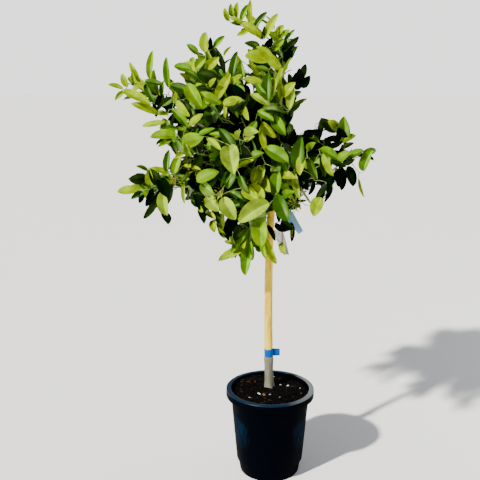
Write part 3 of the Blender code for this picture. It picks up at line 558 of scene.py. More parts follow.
# The seen leaves: how far apart in depth they lie, how they are fitted to their outline, with the least and
# the greatest width as a share of the length, from which green on they face the sun, their folds by green,
# and their twigs
SEEN_SEED = 900
SEEN_STEP = 0.004
SEEN_LEAST = 0.072
SEEN_SHORTER = 0.4
SEEN_STRETCH = 1.03
SEEN_WIDER = 1.1
NARROWEST = 0.30
WIDEST = 0.64
FLATTEST = 0.99
FACING_GREEN = 2
SEEN_FOLDS = (
    (0.35, 0.75), (0.35, 0.75), (0.55, 0.95), (0.50, 0.95), (0.50, 0.90), (0.30, 0.75), (0.45, 0.80),
)
SEEN_TWIG_STATIONS = 9
SEEN_TWIG_BEND = 0.45
SEEN_TWIG_RADII = (0.0013, 0.0008)

# What other leaves keep clear of: a margin round a seen leaf, in pixels, and in front of it, and the lane
# towards the sun over a lit one, from which green on, from how near, how long and its half width
SEEN_MARGIN = 0.5
SEEN_CLEAR = 0.01
LIT_GREEN = 4
LANE_START = 0.01
LANE_LENGTH = 0.16
LANE_HALF = 0.012

# Tufts of young stalks and buds that the photograph shows, read off it: mass, depth, place and radius in
# pixels of its frame, and count
TUFTS = (
    ("foliage_left_near", -0.120, 187, 161, 7, 16),
    ("foliage_left_near", -0.115, 188, 168, 6, 12),
    ("foliage_left_near", -0.130, 197, 170, 5, 10),
    ("foliage_lower_left", -0.050, 175, 178, 8, 18),
    ("foliage_front", -0.270, 218, 195, 5, 10),
    ("foliage_low_right", -0.275, 294, 204, 8, 40),
)
TUFT_SEED = 1200
TUFT_DEPTH = 0.012
TUFT_CROOK = 0.003
TUFT_SAG = 0.01
TUFT_STATIONS = 13
TUFT_ROOTS = 4
STALK_STATIONS = 5
STALK_RADII = (0.0009, 0.0006)
BUD_LENGTH = (0.010, 0.018)
BUD_WIDTH = 0.5
BUD_FOLD = 0.4
DARKER_BUD = 4

# Circles in the photograph's frame, read off it, in which it shows open sky at the crown's edge and through
# it, the bare trunk or a label, so that no grown leaf covers them: (x, y, radius)
OPEN_SKY = (
    (112, 70, 9), (205, 26, 5), (141, 62, 6), (127, 66, 4), (140, 72, 4), (136, 63, 3), (122, 68, 5),
    (157, 66, 5), (176, 48, 12), (190, 34, 9), (216, 30, 8), (232, 42, 8), (228, 66, 3), (247, 69, 4),
    (250, 87, 4), (244, 55, 3), (252, 12, 3), (270, 8, 6), (304, 50, 9), (291, 67, 4), (318, 80, 8),
    (307, 118, 12), (322, 104, 12), (332, 134, 3), (365, 134, 13), (358, 145, 5), (355, 165, 4),
    (345, 206, 18), (334, 204, 8), (305, 198, 4), (304, 212, 6), (257, 263, 6), (235, 267, 6),
    (177, 201, 5), (189, 204, 4), (184, 217, 11), (130, 209, 9), (124, 178, 6), (156, 153, 7),
    (140, 115, 8), (136, 137, 8), (232, 115, 2.5), (246, 123, 3), (222, 112, 2), (203, 117, 2),
    (313, 146, 3), (337, 145, 3), (312, 178, 2), (317, 188, 4), (171, 157, 3), (375, 175, 10),
    (205, 236, 10), (211, 250, 12), (300, 236, 6), (271, 213, 4), (271, 221, 4), (271, 229, 4),
    (270, 238, 4), (270, 248, 4), (269, 257, 4), (282, 234, 3), (285, 240, 3), (287, 248, 3),
    (292, 217, 3), (297, 226, 3), (176, 192, 5), (168, 93, 2.5), (327, 133, 4), (329, 115, 3),
    (336, 116, 2.5), (355, 125, 6), (362, 146, 5), (357, 161, 4), (307, 192, 3), (131, 175, 4),
    (150, 130, 3), (354, 134, 3), (219, 20, 4), (228, 55, 3), (350, 147, 3),
)

# Leaf greens, painted from deep shade to full sun, the brightest also that of young growth, and a pale one for
# pale leaves and painted glossy highlights, as linear RGB, gloss and how far the half of the leaf towards the
# open sky pales with painted sheen
GREENS = (
    ((0.0012, 0.0050, 0.0008), 0.0, 0.0),
    ((0.0065, 0.0250, 0.0006), 0.05, 0.10),
    ((0.0190, 0.0740, 0.0002), 0.16, 0.55),
    ((0.0720, 0.1800, 0.0002), 0.12, 0.45),
    ((0.1150, 0.2200, 0.0002), 0.07, 0.20),
    ((0.1850, 0.2700, 0.0002), 0.03, 0.0),
    ((0.1750, 0.2650, 0.0140), 0.08, 0.25),
)
YOUNGEST = 5
BLADE_ROUGHNESS = (0.28, 0.02)
RIB_LIGHTER = (1.3, 0.001)
RIB_ROUGHNESS = 0.38

# The pattern over a leaf: side veins, mottled gloss, clouds, a darker and a lighter half as painted shade and
# light, and broken painted sheen along the rib. A noise has its scale and detail
VEINS = 8
VEIN_SWEEP = -0.7
VEIN_RELIEF = (0.22, 0.0006)
LEAF_MOTTLE = (45.0, 3.0)
LEAF_SPREAD = (-0.07, 0.12)
LEAF_CLOUDS = (28.0, 2.0)
SHEEN_DRIFT = (14.0, 1.0)
CLOUD_TONES = ((0.36, 0.64), (0.62, 1.24))
HALF_PAINTED_SHADE_AND_LIGHT = (0.55, 1.30)
HALF_CONTRAST = (0.4, 1.4)
HALF_EDGES = (0.46, 0.56)
PAINTED_SHEEN_COLOUR = (0.34, 0.42, 0.16)
PAINTED_SHEEN_SIDE = Vector((0.75, -0.20, 0.50))
SHEEN_ACROSS = ((0.50, 0.0), (0.60, 1.0), (0.74, 0.6), (0.95, 0.0))
SHEEN_ALONG = ((0.04, 0.0), (0.25, 1.0), (0.70, 0.8), (0.95, 0.0))
SHEEN_BREAKS = (-1.6, 2.6)
SHEEN_MOST = 1.3
LEAF_SHEEN = (0.85, 1.0, 0.30, 1.0)

# A spray's green: how it rises with its mass's sun and its own exposure, and which leaves shade it, by their
# distance towards the sun and off that line
SUN_GAIN = 2.6
EXPOSURE_GAIN = 3.2
GREEN_BASE = 0.7
GREEN_SEED = 5
SPRAY_JITTER = 0.6
LEAF_JITTER = 0.75
SHADE_AHEAD = (0.03, 0.45)
SHADE_OFF = 0.035
SHADE_LEAVES = 4.0


class Nodes:
    """Adds nodes to the tree of a material or of the world. A value is a socket, or plain."""

    def __init__(self, tree):
        self.nodes = tree.nodes
        self.links = tree.links

    def feed(self, socket, value):
        if isinstance(value, bpy.types.NodeSocket):
            self.links.new(value, socket)
        else:
            socket.default_value = value

    def add(self, kind, inputs, **settings):
        """The outputs of a new node with these settings and these inputs."""
        made = self.nodes.new(f"ShaderNode{kind}")
        for name, value in settings.items():
            setattr(made, name, value)
        for name, value in inputs.items():
            self.feed(made.inputs[name], value)
        return made.outputs

    def axes(self, place):
        return list(self.add("SeparateXYZ", {"Vector": place}))

    def place(self, kind="Object"):
        return self.add("TexCoord", {})[kind]

    def noise(self, scale, detail, stretch=None):
        """Noise on object coordinates, stretched along the axes where asked."""
        place = self.place()
        if stretch:
            place = self.add("Mapping", {"Vector": place, "Scale": stretch})["Vector"]
        return self.add("TexNoise", {"Vector": place, "Scale": scale, "Detail": detail})["Fac"]

    def ramp(self, source, stops):
        """A colour that changes at (position, colour or grey tone) stops as a value rises."""
        made = self.nodes.new("ShaderNodeValToRGB")
        elements = made.color_ramp.elements
        while len(elements) < len(stops):
            elements.new(0.5)
        for element, (position, colour) in zip(elements, stops):
            element.position = position
            element.color = (*colour, 1.0) if isinstance(colour, tuple) else (colour, colour, colour, 1.0)
        self.links.new(source, made.inputs["Fac"])
        return made.outputs["Color"]

    def between(self, source, low, high):
        """A value mapped from 0..1 to low..high."""
        return self.add("MapRange", {"Value": source, "To Min": low, "To Max": high})["Result"]

    def maths(self, operation, *values):
        return self.add("Math", dict(enumerate(values)), operation=operation)[0]

    def mix(self, blend, share, first, second):
        """A share of the second colour blended over the first."""
        inputs = {"Factor": share, "A": first, "B": second}
        return self.add("Mix", inputs, data_type="RGBA", blend_type=blend)["Result"]

    def bump(self, shader, height, strength, distance):
        inputs = {"Strength": strength, "Distance": distance, "Height": height}
        self.links.new(self.add("Bump", inputs)["Normal"], shader["Normal"])


def new_material(name, colour, roughness, gloss=None, tint=None):
    """A material of one finish, its nodes and its shader's inputs."""
    made = bpy.data.materials.new(name)
    made.use_nodes = True
    shader = made.node_tree.nodes["Principled BSDF"].inputs
    shader["Base Color"].default_value = (*colour, 1.0)
    shader["Roughness"].default_value = roughness
    if gloss is not None:
        shader["Specular IOR Level"].default_value = gloss
    if tint:
        shader["Specular Tint"].default_value = tint
    return made, Nodes(made.node_tree), shader


def tinted(colour, factor):
    return tuple(min(1.0, c * factor) for c in colour)


def either_side(value, spread):
    return value + spread[0], value + spread[1]


def leaf_material(name, colour, roughness, gloss, sheen):
    """A glossy leaf green: one half darker with painted shade, the other paler with painted sheen, and side
    veins in relief.
    """
    made, nodes, shader = new_material(name, colour, roughness, gloss, LEAF_SHEEN)
    across, along, _ = nodes.axes(nodes.add("UVMap", {})["UV"])
    off_rib = nodes.maths("ABSOLUTE", nodes.maths("SUBTRACT", across, 0.5))
    swept = nodes.maths("MULTIPLY_ADD", off_rib, VEIN_SWEEP, along)
    veins = nodes.maths("SINE", nodes.maths("MULTIPLY", swept, 2 * math.pi * VEINS))
    nodes.bump(shader, veins, *VEIN_RELIEF)
    mottle = nodes.noise(*LEAF_MOTTLE)
    nodes.feed(shader["Roughness"], nodes.between(mottle, *either_side(roughness, LEAF_SPREAD)))
    clouds = [(place, tinted(colour, factor)) for place, factor in CLOUD_TONES]
    tone = nodes.ramp(nodes.noise(*LEAF_CLOUDS), clouds)
    # The darker and the lighter half are painted shade and light; the streak by the rib is painted sheen
    least, gain = HALF_CONTRAST
    contrast = min(1.0, least + sheen * gain)
    low, high = (1 + (half - 1) * contrast for half in HALF_PAINTED_SHADE_AND_LIGHT)
    left, right = HALF_EDGES
    halves = nodes.ramp(across, ((0.0, low), (left, low), (right, high), (1.0, high)))
    shaded = nodes.mix("MULTIPLY", 1.0, tone, halves)
    streak = nodes.maths("MULTIPLY", nodes.ramp(across, SHEEN_ACROSS), nodes.ramp(along, SHEEN_ALONG))
    patchy = nodes.between(nodes.noise(*SHEEN_DRIFT), *SHEEN_BREAKS)
    broken = nodes.maths("MAXIMUM", nodes.maths("MULTIPLY", streak, patchy), 0.0)
    share = nodes.maths("MULTIPLY", nodes.maths("MINIMUM", broken, SHEEN_MOST), sheen)
    nodes.feed(shader["Base Color"], nodes.mix("MIX", share, shaded, (*PAINTED_SHEEN_COLOUR, 1.0)))
    return made


def bark_material(name, stops, scale=1.0):
    """Bark with long soft streaks, small cross marks and a fine grain."""
    made, nodes, shader = new_material(name, stops[0][1], BARK_ROUGHNESS)
    streaks = nodes.noise(STREAK_SCALE * scale, STREAK_DETAIL, STREAK_STRETCH)
    marks = nodes.ramp(nodes.noise(MARK_SCALE * scale, MARK_DETAIL, MARK_STRETCH), BARK_MARKS)
    nodes.feed(shader["Base Color"], nodes.mix("MULTIPLY", MARK_SHARE, nodes.ramp(streaks, stops), marks))
    nodes.bump(shader, streaks, *BARK_RELIEF)
    return made


def pot_material(name, gloss, dark, light, roughness, painted_highlight=None):
    """Scuffed plastic with a blue sheen, with painted reflections in broad lighter patches at its sides,
    broken up by dust, and a painted highlight at its right.
    """
    made, nodes, shader = new_material(name, dark, roughness, gloss, POT_SHEEN)
    scuffs = nodes.noise(*POT_SCUFFS)
    nodes.feed(shader["Roughness"], nodes.between(scuffs, *either_side(roughness, POT_SPREAD)))
    x, y, z = nodes.axes(nodes.place())
    # Painted reflection: lighter patches at the sides, towards the front
    sides = nodes.ramp(nodes.maths("MULTIPLY", x, x), PATCH_SIDES)
    patch = nodes.maths("MULTIPLY", sides, nodes.ramp(z, PATCH_HEIGHTS))
    front = nodes.ramp(nodes.maths("MULTIPLY_ADD", y, -1.0, PATCH_DEPTH), PATCH_FRONT)
    patch = nodes.maths("MULTIPLY", patch, front)
    broken = nodes.maths("MULTIPLY", patch, nodes.noise(*POT_DUST_AND_SHEEN))
    colour = nodes.ramp(broken, list(zip(PATCH_TONES, (dark, light))))
    # The painted highlight at the rim's right
    if painted_highlight:
        colour = nodes.mix("MIX", nodes.ramp(x, PAINTED_HIGHLIGHT_SIDE), colour, (*painted_highlight, 1.0))
    nodes.feed(shader["Base Color"], colour)
    nodes.bump(shader, scuffs, *POT_RELIEF)
    return made


def soil_material(name, colour):
    made, nodes, shader = new_material(name, colour, *SOIL_FINISH)
    grain = nodes.noise(*SOIL_GRAIN)
    tones = [(edge, tinted(colour, factor)) for edge, factor in zip(SOIL_EDGES, SOIL_TONES)]
    nodes.feed(shader["Base Color"], nodes.ramp(grain, tones))
    nodes.bump(shader, grain, *SOIL_RELIEF)
    return made


def film_material(name, stops, roughness):
    """Thin plastic film with soft creases, darker in them as painted shade. Its colour changes at the stops
    along X, in metres.
    """
    made, nodes, shader = new_material(name, stops[-1][1], roughness, FILM_GLOSS)
    tone = nodes.ramp(nodes.axes(nodes.place())[0], stops)
    crease = nodes.noise(*FILM_CREASES)
    shade = nodes.ramp(crease, CREASE_SHADES)
    nodes.feed(shader["Base Color"], nodes.mix("MULTIPLY", 1.0, tone, shade))
    nodes.bump(shader, crease, *FILM_RELIEF)
    return made


def floor_material():
    made, nodes, shader = new_material("floor_pale", FLOOR_COLOUR, FLOOR_ROUGHNESS, FLOOR_GLOSS)
    nodes.feed(shader["Roughness"], nodes.between(nodes.noise(*FLOOR_SPECKS), *FLOOR_SPREAD))
    return made


def add_mesh(name, verts, faces, materials, indices=None, uvs=None, smooth=True):
    """A linked mesh object from arrays, with material indices and one UV per corner where given."""
    mesh = bpy.data.meshes.new(name)
    mesh.from_pydata([tuple(v) for v in verts], [], faces)
    for made in materials:
        mesh.materials.append(made)
    if indices is not None:
        mesh.polygons.foreach_set("material_index", np.asarray(indices, dtype=np.int32))
    if uvs is not None:
        layer = mesh.uv_layers.new(name="UVMap")
        layer.data.foreach_set("uv", np.asarray(uvs, dtype=np.float32).ravel())
    if smooth:
        mesh.shade_smooth()
    mesh.update()
    made = bpy.data.objects.new(name, mesh)
    bpy.context.scene.collection.objects.link(made)
    return made


def smooth_line(points, count):
    """Evenly spaced stations on a Catmull-Rom curve through the points."""
    ends = [points[0] * 2 - points[1], *points, points[-1] * 2 - points[-2]]
    placed = []
    for k in range(count):
        u = k / (count - 1) * (len(points) - 1)
        i = min(int(u), len(points) - 2)
        t = u - i
        a, b, c, d = ends[i : i + 4]
        curve = 2 * b + (c - a) * t + (2 * a - 5 * b + 4 * c - d) * t**2 + (3 * b - a - 3 * c + d) * t**3
        placed.append(curve / 2)
    return placed


def bent_line(start, bend, tip, count):
    """Stations on the quadratic curve from start to tip that leaves towards bend."""
    shares = [k / (count - 1) for k in range(count)]
    return [start * (1 - t) ** 2 + bend * 2 * t * (1 - t) + tip * t**2 for t in shares]


def directions(line):
    last = len(line) - 1
    return [(line[min(k + 1, last)] - line[max(k - 1, 0)]).normalized() for k in range(len(line))]


def side_of(direction):
    """A unit vector square to the direction, which turns slowly as the direction does."""
    across = STEEP_SIDE if abs(direction.z) > STEEP else FLAT_SIDE
    return (across - direction * across.dot(direction)).normalized()


def turned_side(direction, angle):
    return Matrix.Rotation(angle, 3, direction) @ side_of(direction)


def length_of(line):
    return sum((b - a).length for a, b in zip(line, line[1:]))


def stations(line, first, last, count):
    """(point, direction, share) at evenly spaced shares of a line from first to last."""
    way = directions(line)
    placed = []
    for k in range(count):
        share = first + (last - first) * k / max(1, count - 1)
        u = share * (len(line) - 1)
        i = min(int(u), len(line) - 2)
        placed.append((line[i].lerp(line[i + 1], u - i), way[i].lerp(way[i + 1], u - i).normalized(), share))
    return placed


def place_seen(x, y, depth):
    """The point at that depth (y) which the camera sees at a place in the photograph's frame."""
    forward = Vector((0, math.cos(CAMERA_PITCH), -math.sin(CAMERA_PITCH)))
    up = Vector((0, math.sin(CAMERA_PITCH), math.cos(CAMERA_PITCH)))
    ray = forward * FOCAL + Vector((x - FRAME_SIZE / 2, 0, 0)) + up * (FRAME_SIZE / 2 - y)
    return Vector(CAMERA_PLACE) + ray * ((depth - CAMERA_PLACE[1]) / ray.y)


def seen_places(points):
    """Where the camera sees points, in pixels of the photograph's frame."""
    gap = points - np.array(CAMERA_PLACE)
    cosine, sine = math.cos(CAMERA_PITCH), math.sin(CAMERA_PITCH)
    depth = gap[:, 1] * cosine - gap[:, 2] * sine
    height = gap[:, 1] * sine + gap[:, 2] * cosine
    return np.stack([FRAME_SIZE / 2 + FOCAL * gap[:, 0] / depth, FRAME_SIZE / 2 - FOCAL * height / depth], 1)


class Surface:
    """Gathers tubes, rings and lumps as arrays, to be joined into one mesh."""

    def __init__(self):
        self.verts = []
        self.faces = []
        self.indices = []

    def rows(self, first, count, sides, index=0, flip=False):
        """Adds rows of four-sided faces between rings of vertices that lie one after another."""
        for k in range(count):
            low, high = first + k * sides, first + (k + 1) * sides
            for j in range(sides):
                m = (j + 1) % sides
                face = (low + j, low + m, high + m, high + j)
                self.faces.append((face[0], *face[:0:-1]) if flip else face)
                self.indices.append(index)

    def tube(self, line, radius_at, sides, index=0):
        """Adds a tube with a closed tip along a line. radius_at(station, angle, point) gives its radius."""
        first = len(self.verts)
        way = directions(line)
        side = side_of(way[0])
        for k, (point, direction) in enumerate(zip(line, way)):
            side = (side - direction * side.dot(direction)).normalized()
            over = direction.cross(side)
            for j in range(sides):
                a = 2 * math.pi * j / sides
                out = side * math.cos(a) + over * math.sin(a)
                self.verts.append(point + out * radius_at(k, a, point))
        self.rows(first, len(line) - 1, sides, index)
        end = first + (len(line) - 1) * sides
        self.faces.append(tuple(end + j for j in range(sides)))
        self.indices.append(index)

    def ring(self, radius, sides, height_at):
        """Adds a ring of vertices round Z, each at the height of its place."""
        for j in range(sides):
            a = 2 * math.pi * j / sides
            x, y = radius * math.cos(a), radius * math.sin(a)
            self.verts.append(Vector((x, y, height_at(x, y))))

    def close_first_ring(self, sides):
        self.faces.append(tuple(range(sides))[::-1])
        self.indices.append(0)

    def add(self, verts, faces, index=0):
        first = len(self.verts)
        self.verts.extend(verts)
        for face in faces:
            self.faces.append(tuple(first + v for v in face))
            self.indices.append(index)

    def build(self, name, materials, smooth=True):
        return add_mesh(name, self.verts, self.faces, materials, self.indices, smooth=smooth)


class Limb:
    """The trunk or a bough: its line and its radius at each station."""

    def __init__(self, line, radii):
        self.line = line
        self.radii = radii

    def at(self, share):
        u = share * (len(self.line) - 1)
        i = min(int(u), len(self.line) - 2)
        point = self.line[i].lerp(self.line[i + 1], u - i)
        direction = (self.line[i + 1] - self.line[i]).normalized()
        return point, direction, self.radii[i] + (self.radii[i + 1] - self.radii[i]) * (u - i)


def trunk_radius(height):
    if height < HEAD_HEIGHT:
        share = (height - TRUNK_FOOT_HEIGHT) / (HEAD_HEIGHT - TRUNK_FOOT_HEIGHT)
        radius = TRUNK_FOOT_RADIUS + (TRUNK_HEAD_RADIUS - TRUNK_FOOT_RADIUS) * share
    else:
        share = (height - HEAD_HEIGHT) / (TRUNK_TIP_HEIGHT - HEAD_HEIGHT)
        radius = TRUNK_HEAD_RADIUS + (LEADER_TIP_RADIUS - TRUNK_HEAD_RADIUS) * share
    return radius + GRAFT_BULGE * math.exp(-(((height - GRAFT_HEIGHT) / GRAFT_SPAN) ** 2))


def build_limbs():
    """The trunk's and the boughs' lines, by the part's rule."""
    rise = (TRUNK_TIP_HEIGHT - TRUNK_FOOT_HEIGHT) / (len(TRUNK_LINE) - 1)
    points = [Vector((x, y, TRUNK_FOOT_HEIGHT + rise * k)) for k, (x, y) in enumerate(TRUNK_LINE)]
    line = smooth_line(points, TRUNK_STATIONS)
    limbs = {"trunk": Limb(line, [trunk_radius(p.z) for p in line])}
    last = BOUGH_STATIONS - 1
    for name, (parent, share, tip, root_radius, tip_radius) in BOUGHS.items():
        start = limbs[parent].at(share)[0]
        reach = Vector(tip) - start
        bend = start + reach * 0.5 + Vector((0, 0, reach.length * BOUGH_ARCH))
        bough = bent_line(start, bend, Vector(tip), BOUGH_STATIONS)
        radii = [root_radius + (tip_radius - root_radius) * k / last for k in range(BOUGH_STATIONS)]
        limbs[name] = Limb(bough, radii)
    return limbs


def bark_share(height):
    """How much of the bark's relief stands at a height: all of it, or none under the tape and the bands."""
    open_share = min(max(0.0, abs(height - middle) - half) / STRAP_EASE for middle, half in STRAPS)
    return min(1.0, open_share)


def relief(angle, height, round_scale, up_scale, depth):
    """The bark's relief from noise that is stretched round the limb and up it."""
    place = (math.cos(angle) * round_scale, math.sin(angle) * round_scale, height * up_scale)
    return noise.noise(Vector(place)) * depth


def build_trunk(trunk):
    """The trunk with its flare, fine fissures and swellings under the boughs."""
    foot = trunk.line[0].z
    forks = [trunk.at(share)[0].z for parent, share, *_ in BOUGHS.values() if parent == "trunk"]

    def radius_at(station, angle, point):
        ridge = 1 + FLARE_RIDGE * math.cos(FLARE_RIDGES * angle)
        flare = FLARE * math.exp(-(point.z - foot) / FLARE_HEIGHT) * ridge
        swell = FORK_SWELL * max(math.exp(-(((point.z - fork) / FORK_SPAN) ** 2)) for fork in forks)
        lumps = relief(angle, point.z, *BARK_LUMPS)
        grain = relief(angle, point.z, *BARK_GRAIN)
        return trunk.radii[station] + (BARK + flare + swell + lumps + grain) * bark_share(point.z)

    surface = Surface()
    surface.tube(trunk.line, radius_at, TRUNK_SIDES)
    heights = [surface.verts[face[0]].z for face in surface.faces]
    # Faces low on the trunk take the painted shade, those near the tip the green wood
    surface.indices = [1 if z < PAINTED_SHADE_HEIGHT else 2 if z > GREEN_WOOD_HEIGHT else 0 for z in heights]
    return surface


def build_boughs(limbs):
    """Every bough, swelling where it leaves its parent."""
    surface = Surface()
    for name in BOUGHS:
        limb = limbs[name]

        def radius_at(station, angle, point, limb=limb):
            collar = 1 + COLLAR * math.exp(-(point - limb.line[0]).length / COLLAR_SPAN)
            grain = 1 + BOUGH_GRAIN * noise.noise(point * BOUGH_GRAIN_SCALE)
            return limb.radii[station] * collar * grain

        surface.tube(limb.line, radius_at, BOUGH_SIDES)
    return surface


class Mass:
    """The stem of one mass of foliage and the space round it."""

    def __init__(self, name, limbs):
        limb_name, share, tip, self.spread, self.stand, self.sun = MASSES[name]
        point, direction, _ = limbs[limb_name].at(share)
        tip = Vector(tip)
        reach = (tip - point).length
        self.name = name
        self.density = SPARSE.get(name, 1.0)
        if share < 1.0:
            bend = point.lerp(tip, 0.5) + Vector((0, 0, reach * STEM_RISE))
        else:
            bend = point + direction * reach * STEM_FOLLOW
        self.line = bent_line(point, bend, tip, STEM_STATIONS)
        self.nodes = np.array([list(p) for p in self.line[::2]])
        self.young = max(0.0, self.stand)
        self.outward = (self.line[STEM_STATIONS // 2] - CROWN_MIDDLE).normalized()
        if self.stand > SUNLIT_STAND:
            self.slot = "leaves_sunlit"
        else:
            self.slot = "leaves_shaded" if self.stand < SHADED_STAND else "leaves_green"


class Inside:
    """What a mass says, for the growth on the limbs inside the crown: shaded, and hanging a little."""

    slot = "leaves_shaded"
    stand = -0.2
    sun = 0.0
    density = 1.0
    young = 0.0
    outward = Vector((0.0, 0.0, 0.0))


def piece_distances(gap, along):
    """How far points lie from line pieces, from their gaps to the pieces' starts and the pieces' reaches."""
    share = np.clip((gap * along).sum(2) / (along**2).sum(1), 0, 1)
    return np.sqrt(((gap - share[..., None] * along) ** 2).sum(2))


def cell_of(point):
    return tuple(int(math.floor(c / LEAF_APART)) for c in point)


class Space:
    """Says which mass a point belongs to, and keeps leaves apart from each other and from the limbs."""

    def __init__(self, masses, limbs):
        self.starts = np.concatenate([m.nodes[:-1] for m in masses])
        self.along = np.concatenate([m.nodes[1:] for m in masses]) - self.starts
        self.spread = np.concatenate([[m.spread] * (len(m.nodes) - 1) for m in masses])
        self.owner = np.concatenate([[k] * (len(m.nodes) - 1) for k, m in enumerate(masses)])
        self.limb_points = np.array([list(point) for limb in limbs.values() for point in limb.line])
        self.limb_radii = np.array([radius for limb in limbs.values() for radius in limb.radii])
        self.cells = {}
        self.sky = np.array(OPEN_SKY, dtype=float)
        self.keep_seen()

    def keep_seen(self):
        """Notes the seen leaves, so that no other leaf grows in front of them or shades the lit ones."""
        seen = []
        lit = []
        for depth, rows in SEEN_LEAVES.values():
            for k, (x0, y0, x1, y1, width, green) in enumerate(rows):
                place = depth - SEEN_STEP * k
                seen.append((x0, y0, x1, y1, width / 2 + SEEN_MARGIN, place + SEEN_CLEAR))
                if green >= LIT_GREEN:
                    lit.append((*place_seen(x0, y0, place), *place_seen(x1, y1, place)))
        self.seen = np.array(seen)
        self.lit = np.array(lit)

    def open_view(self, points):
        """True where no point lies in open sky or in front of a seen leaf."""
        places = seen_places(points)
        gap = places[:, None, :] - self.sky[None, :, :2]
        if ((gap**2).sum(2) < self.sky[:, 2] ** 2).any():
            return False
        gap = places[:, None, :] - self.seen[None, :, :2]
        off = piece_distances(gap, self.seen[:, 2:4] - self.seen[:, :2])
        nearer = points[:, 1][:, None] < self.seen[:, 5]
        return not bool((nearer & (off < self.seen[:, 4])).any())

    def shades(self, points):
        """True where a point lies close between the sun and a seen leaf that is lit."""
        sun = np.array(SUNWARD.normalized())
        along = self.lit[:, 3:] - self.lit[:, :3]
        along = along - np.outer(along @ sun, sun)
        gap = points[:, None, :] - self.lit[None, :, :3]
        ahead = gap @ sun
        off = piece_distances(gap - ahead[..., None] * sun, along)
        return bool(((ahead > LANE_START) & (ahead < LANE_LENGTH) & (off < LANE_HALF)).any())

    def owned(self, points, number):
        """True where every point is nearest to that mass's stem, or to any where None, within its spread."""
        distance = piece_distances(points[:, None, :] - self.starts[None], self.along) / self.spread
        own = number is None or bool((self.owner[distance.argmin(1)] == number).all())
        return own and bool((distance.min(1) <= 1.0).all())

    def off_limbs(self, points, clear):
        gap = ((points[:, None, :] - self.limb_points[None]) ** 2).sum(2)
        return bool((gap > (self.limb_radii + clear) ** 2).all())

    def free(self, point, normal):
        """True where no leaf's middle lies within LEAF_APART beside this one, or nearer over its face."""
        x, y, z = cell_of(point)
        for i, j, k in itertools.product((-1, 0, 1), repeat=3):
            for other in self.cells.get((x + i, y + j, z + k), ()):
                gap = other - point
                over = gap.dot(normal)
                if gap.length_squared + (LEAF_STACK**2 - 1) * over * over < LEAF_APART**2:
                    return False
        return True

    def take(self, point):
        self.cells.setdefault(cell_of(point), []).append(point)


def leaf_half_width(t):
    """The half width of a leaf at a share of its length, with its widest place at 1."""
    size, root, tip = LEAF_OUTLINE
    return size * t**root * (1 - t) ** tip if 0 < t < 1 else 0.0


def leaf_template():
    """(along, across) for each vertex of a leaf, its faces, each face's rib flag and each corner's UV."""
    places = []
    for t in LEAF_ROWS:
        half = max(leaf_half_width(t), ROOT_HALF if t == 0.0 else LEAST_HALF)
        for x in LEAF_COLUMNS:
            rib = abs(x) < RIB_EDGE
            places.append((t, x * max(half, RIB_HALF) if rib else x * half))
    faces = []
    ribs = []
    uvs = []
    wide = len(LEAF_COLUMNS)
    for r, c in itertools.product(range(len(LEAF_ROWS) - 1), range(wide - 1)):
        corners = ((r, c), (r, c + 1), (r + 1, c + 1), (r + 1, c))
        faces.append(tuple(i * wide + j for i, j in corners))
        ribs.append(c == wide // 2 - 1)
        uvs.extend(((LEAF_COLUMNS[j] + 1) / 2, LEAF_ROWS[i]) for i, j in corners)
    return np.array(places), faces, ribs, uvs


class Leaves:
    """Gathers leaves as arrays."""

    def __init__(self):
        self.places, self.faces, self.ribs, self.uvs = leaf_template()
        self.mirrored = [(1 - u, v) for u, v in self.uvs]
        self.verts = []
        self.all_faces = []
        self.sprays = []
        self.offsets = []
        self.all_uvs = []

    def add(self, root, direction, normal, length, wide, fold, spray, offset, rng, limp=1.0):
        """One leaf, folded along its rib, curled down along its length and a little waved at its edge."""
        over = np.array(normal.cross(direction))
        curl = rng.uniform(*LEAF_CURL) * limp
        wave = rng.uniform(*LEAF_WAVE) * limp
        phase = rng.uniform(0, 2 * math.pi)
        bend = rng.uniform(-LEAF_BEND, LEAF_BEND) * limp
        width = wide / 2
        t, x = self.places.T
        side = np.abs(x)
        ripple = wave * side**2 * np.sin(LEAF_WAVES * 2 * math.pi * t + phase)
        up = fold * side * width * (1 - FOLD_EASE * side) + ripple
        up = up - curl * t**2 + LEAF_ARCH * np.sin(math.pi * t)
        up = up - np.where(side < RIB_EDGE, RIB_GROOVE, 0.0)
        across = x * width * math.cos(math.atan(fold)) + bend * t**2
        along = t * (1 - curl * t * CURL_DRAW)
        local = np.outer(along, np.array(direction)) + np.outer(across, over) + np.outer(up, np.array(normal))
        first = len(self.verts) * len(self.places)
        self.verts.append(np.array(root) + local * length)
        for face in self.faces:
            self.all_faces.append(tuple(first + v for v in face))
        # The half with the painted light and sheen is turned to the side of the open sky
        self.all_uvs.extend(self.mirrored if over.dot(PAINTED_SHEEN_SIDE) < 0 else self.uvs)
        self.sprays.append(spray)
        self.offsets.append(offset)

    def build(self, name, materials, levels):
        """The joined mesh, each leaf in the green of its spray's level."""
        verts = np.concatenate(self.verts)
        indices = []
        for spray, offset in zip(self.sprays, self.offsets):
            shade = round(levels[spray] + offset)
            if offset:
                shade = min(YOUNGEST, max(0, shade))
            indices.extend(shade * 2 + rib for rib in self.ribs)
        return add_mesh(name, verts, self.all_faces, materials, indices, self.all_uvs)


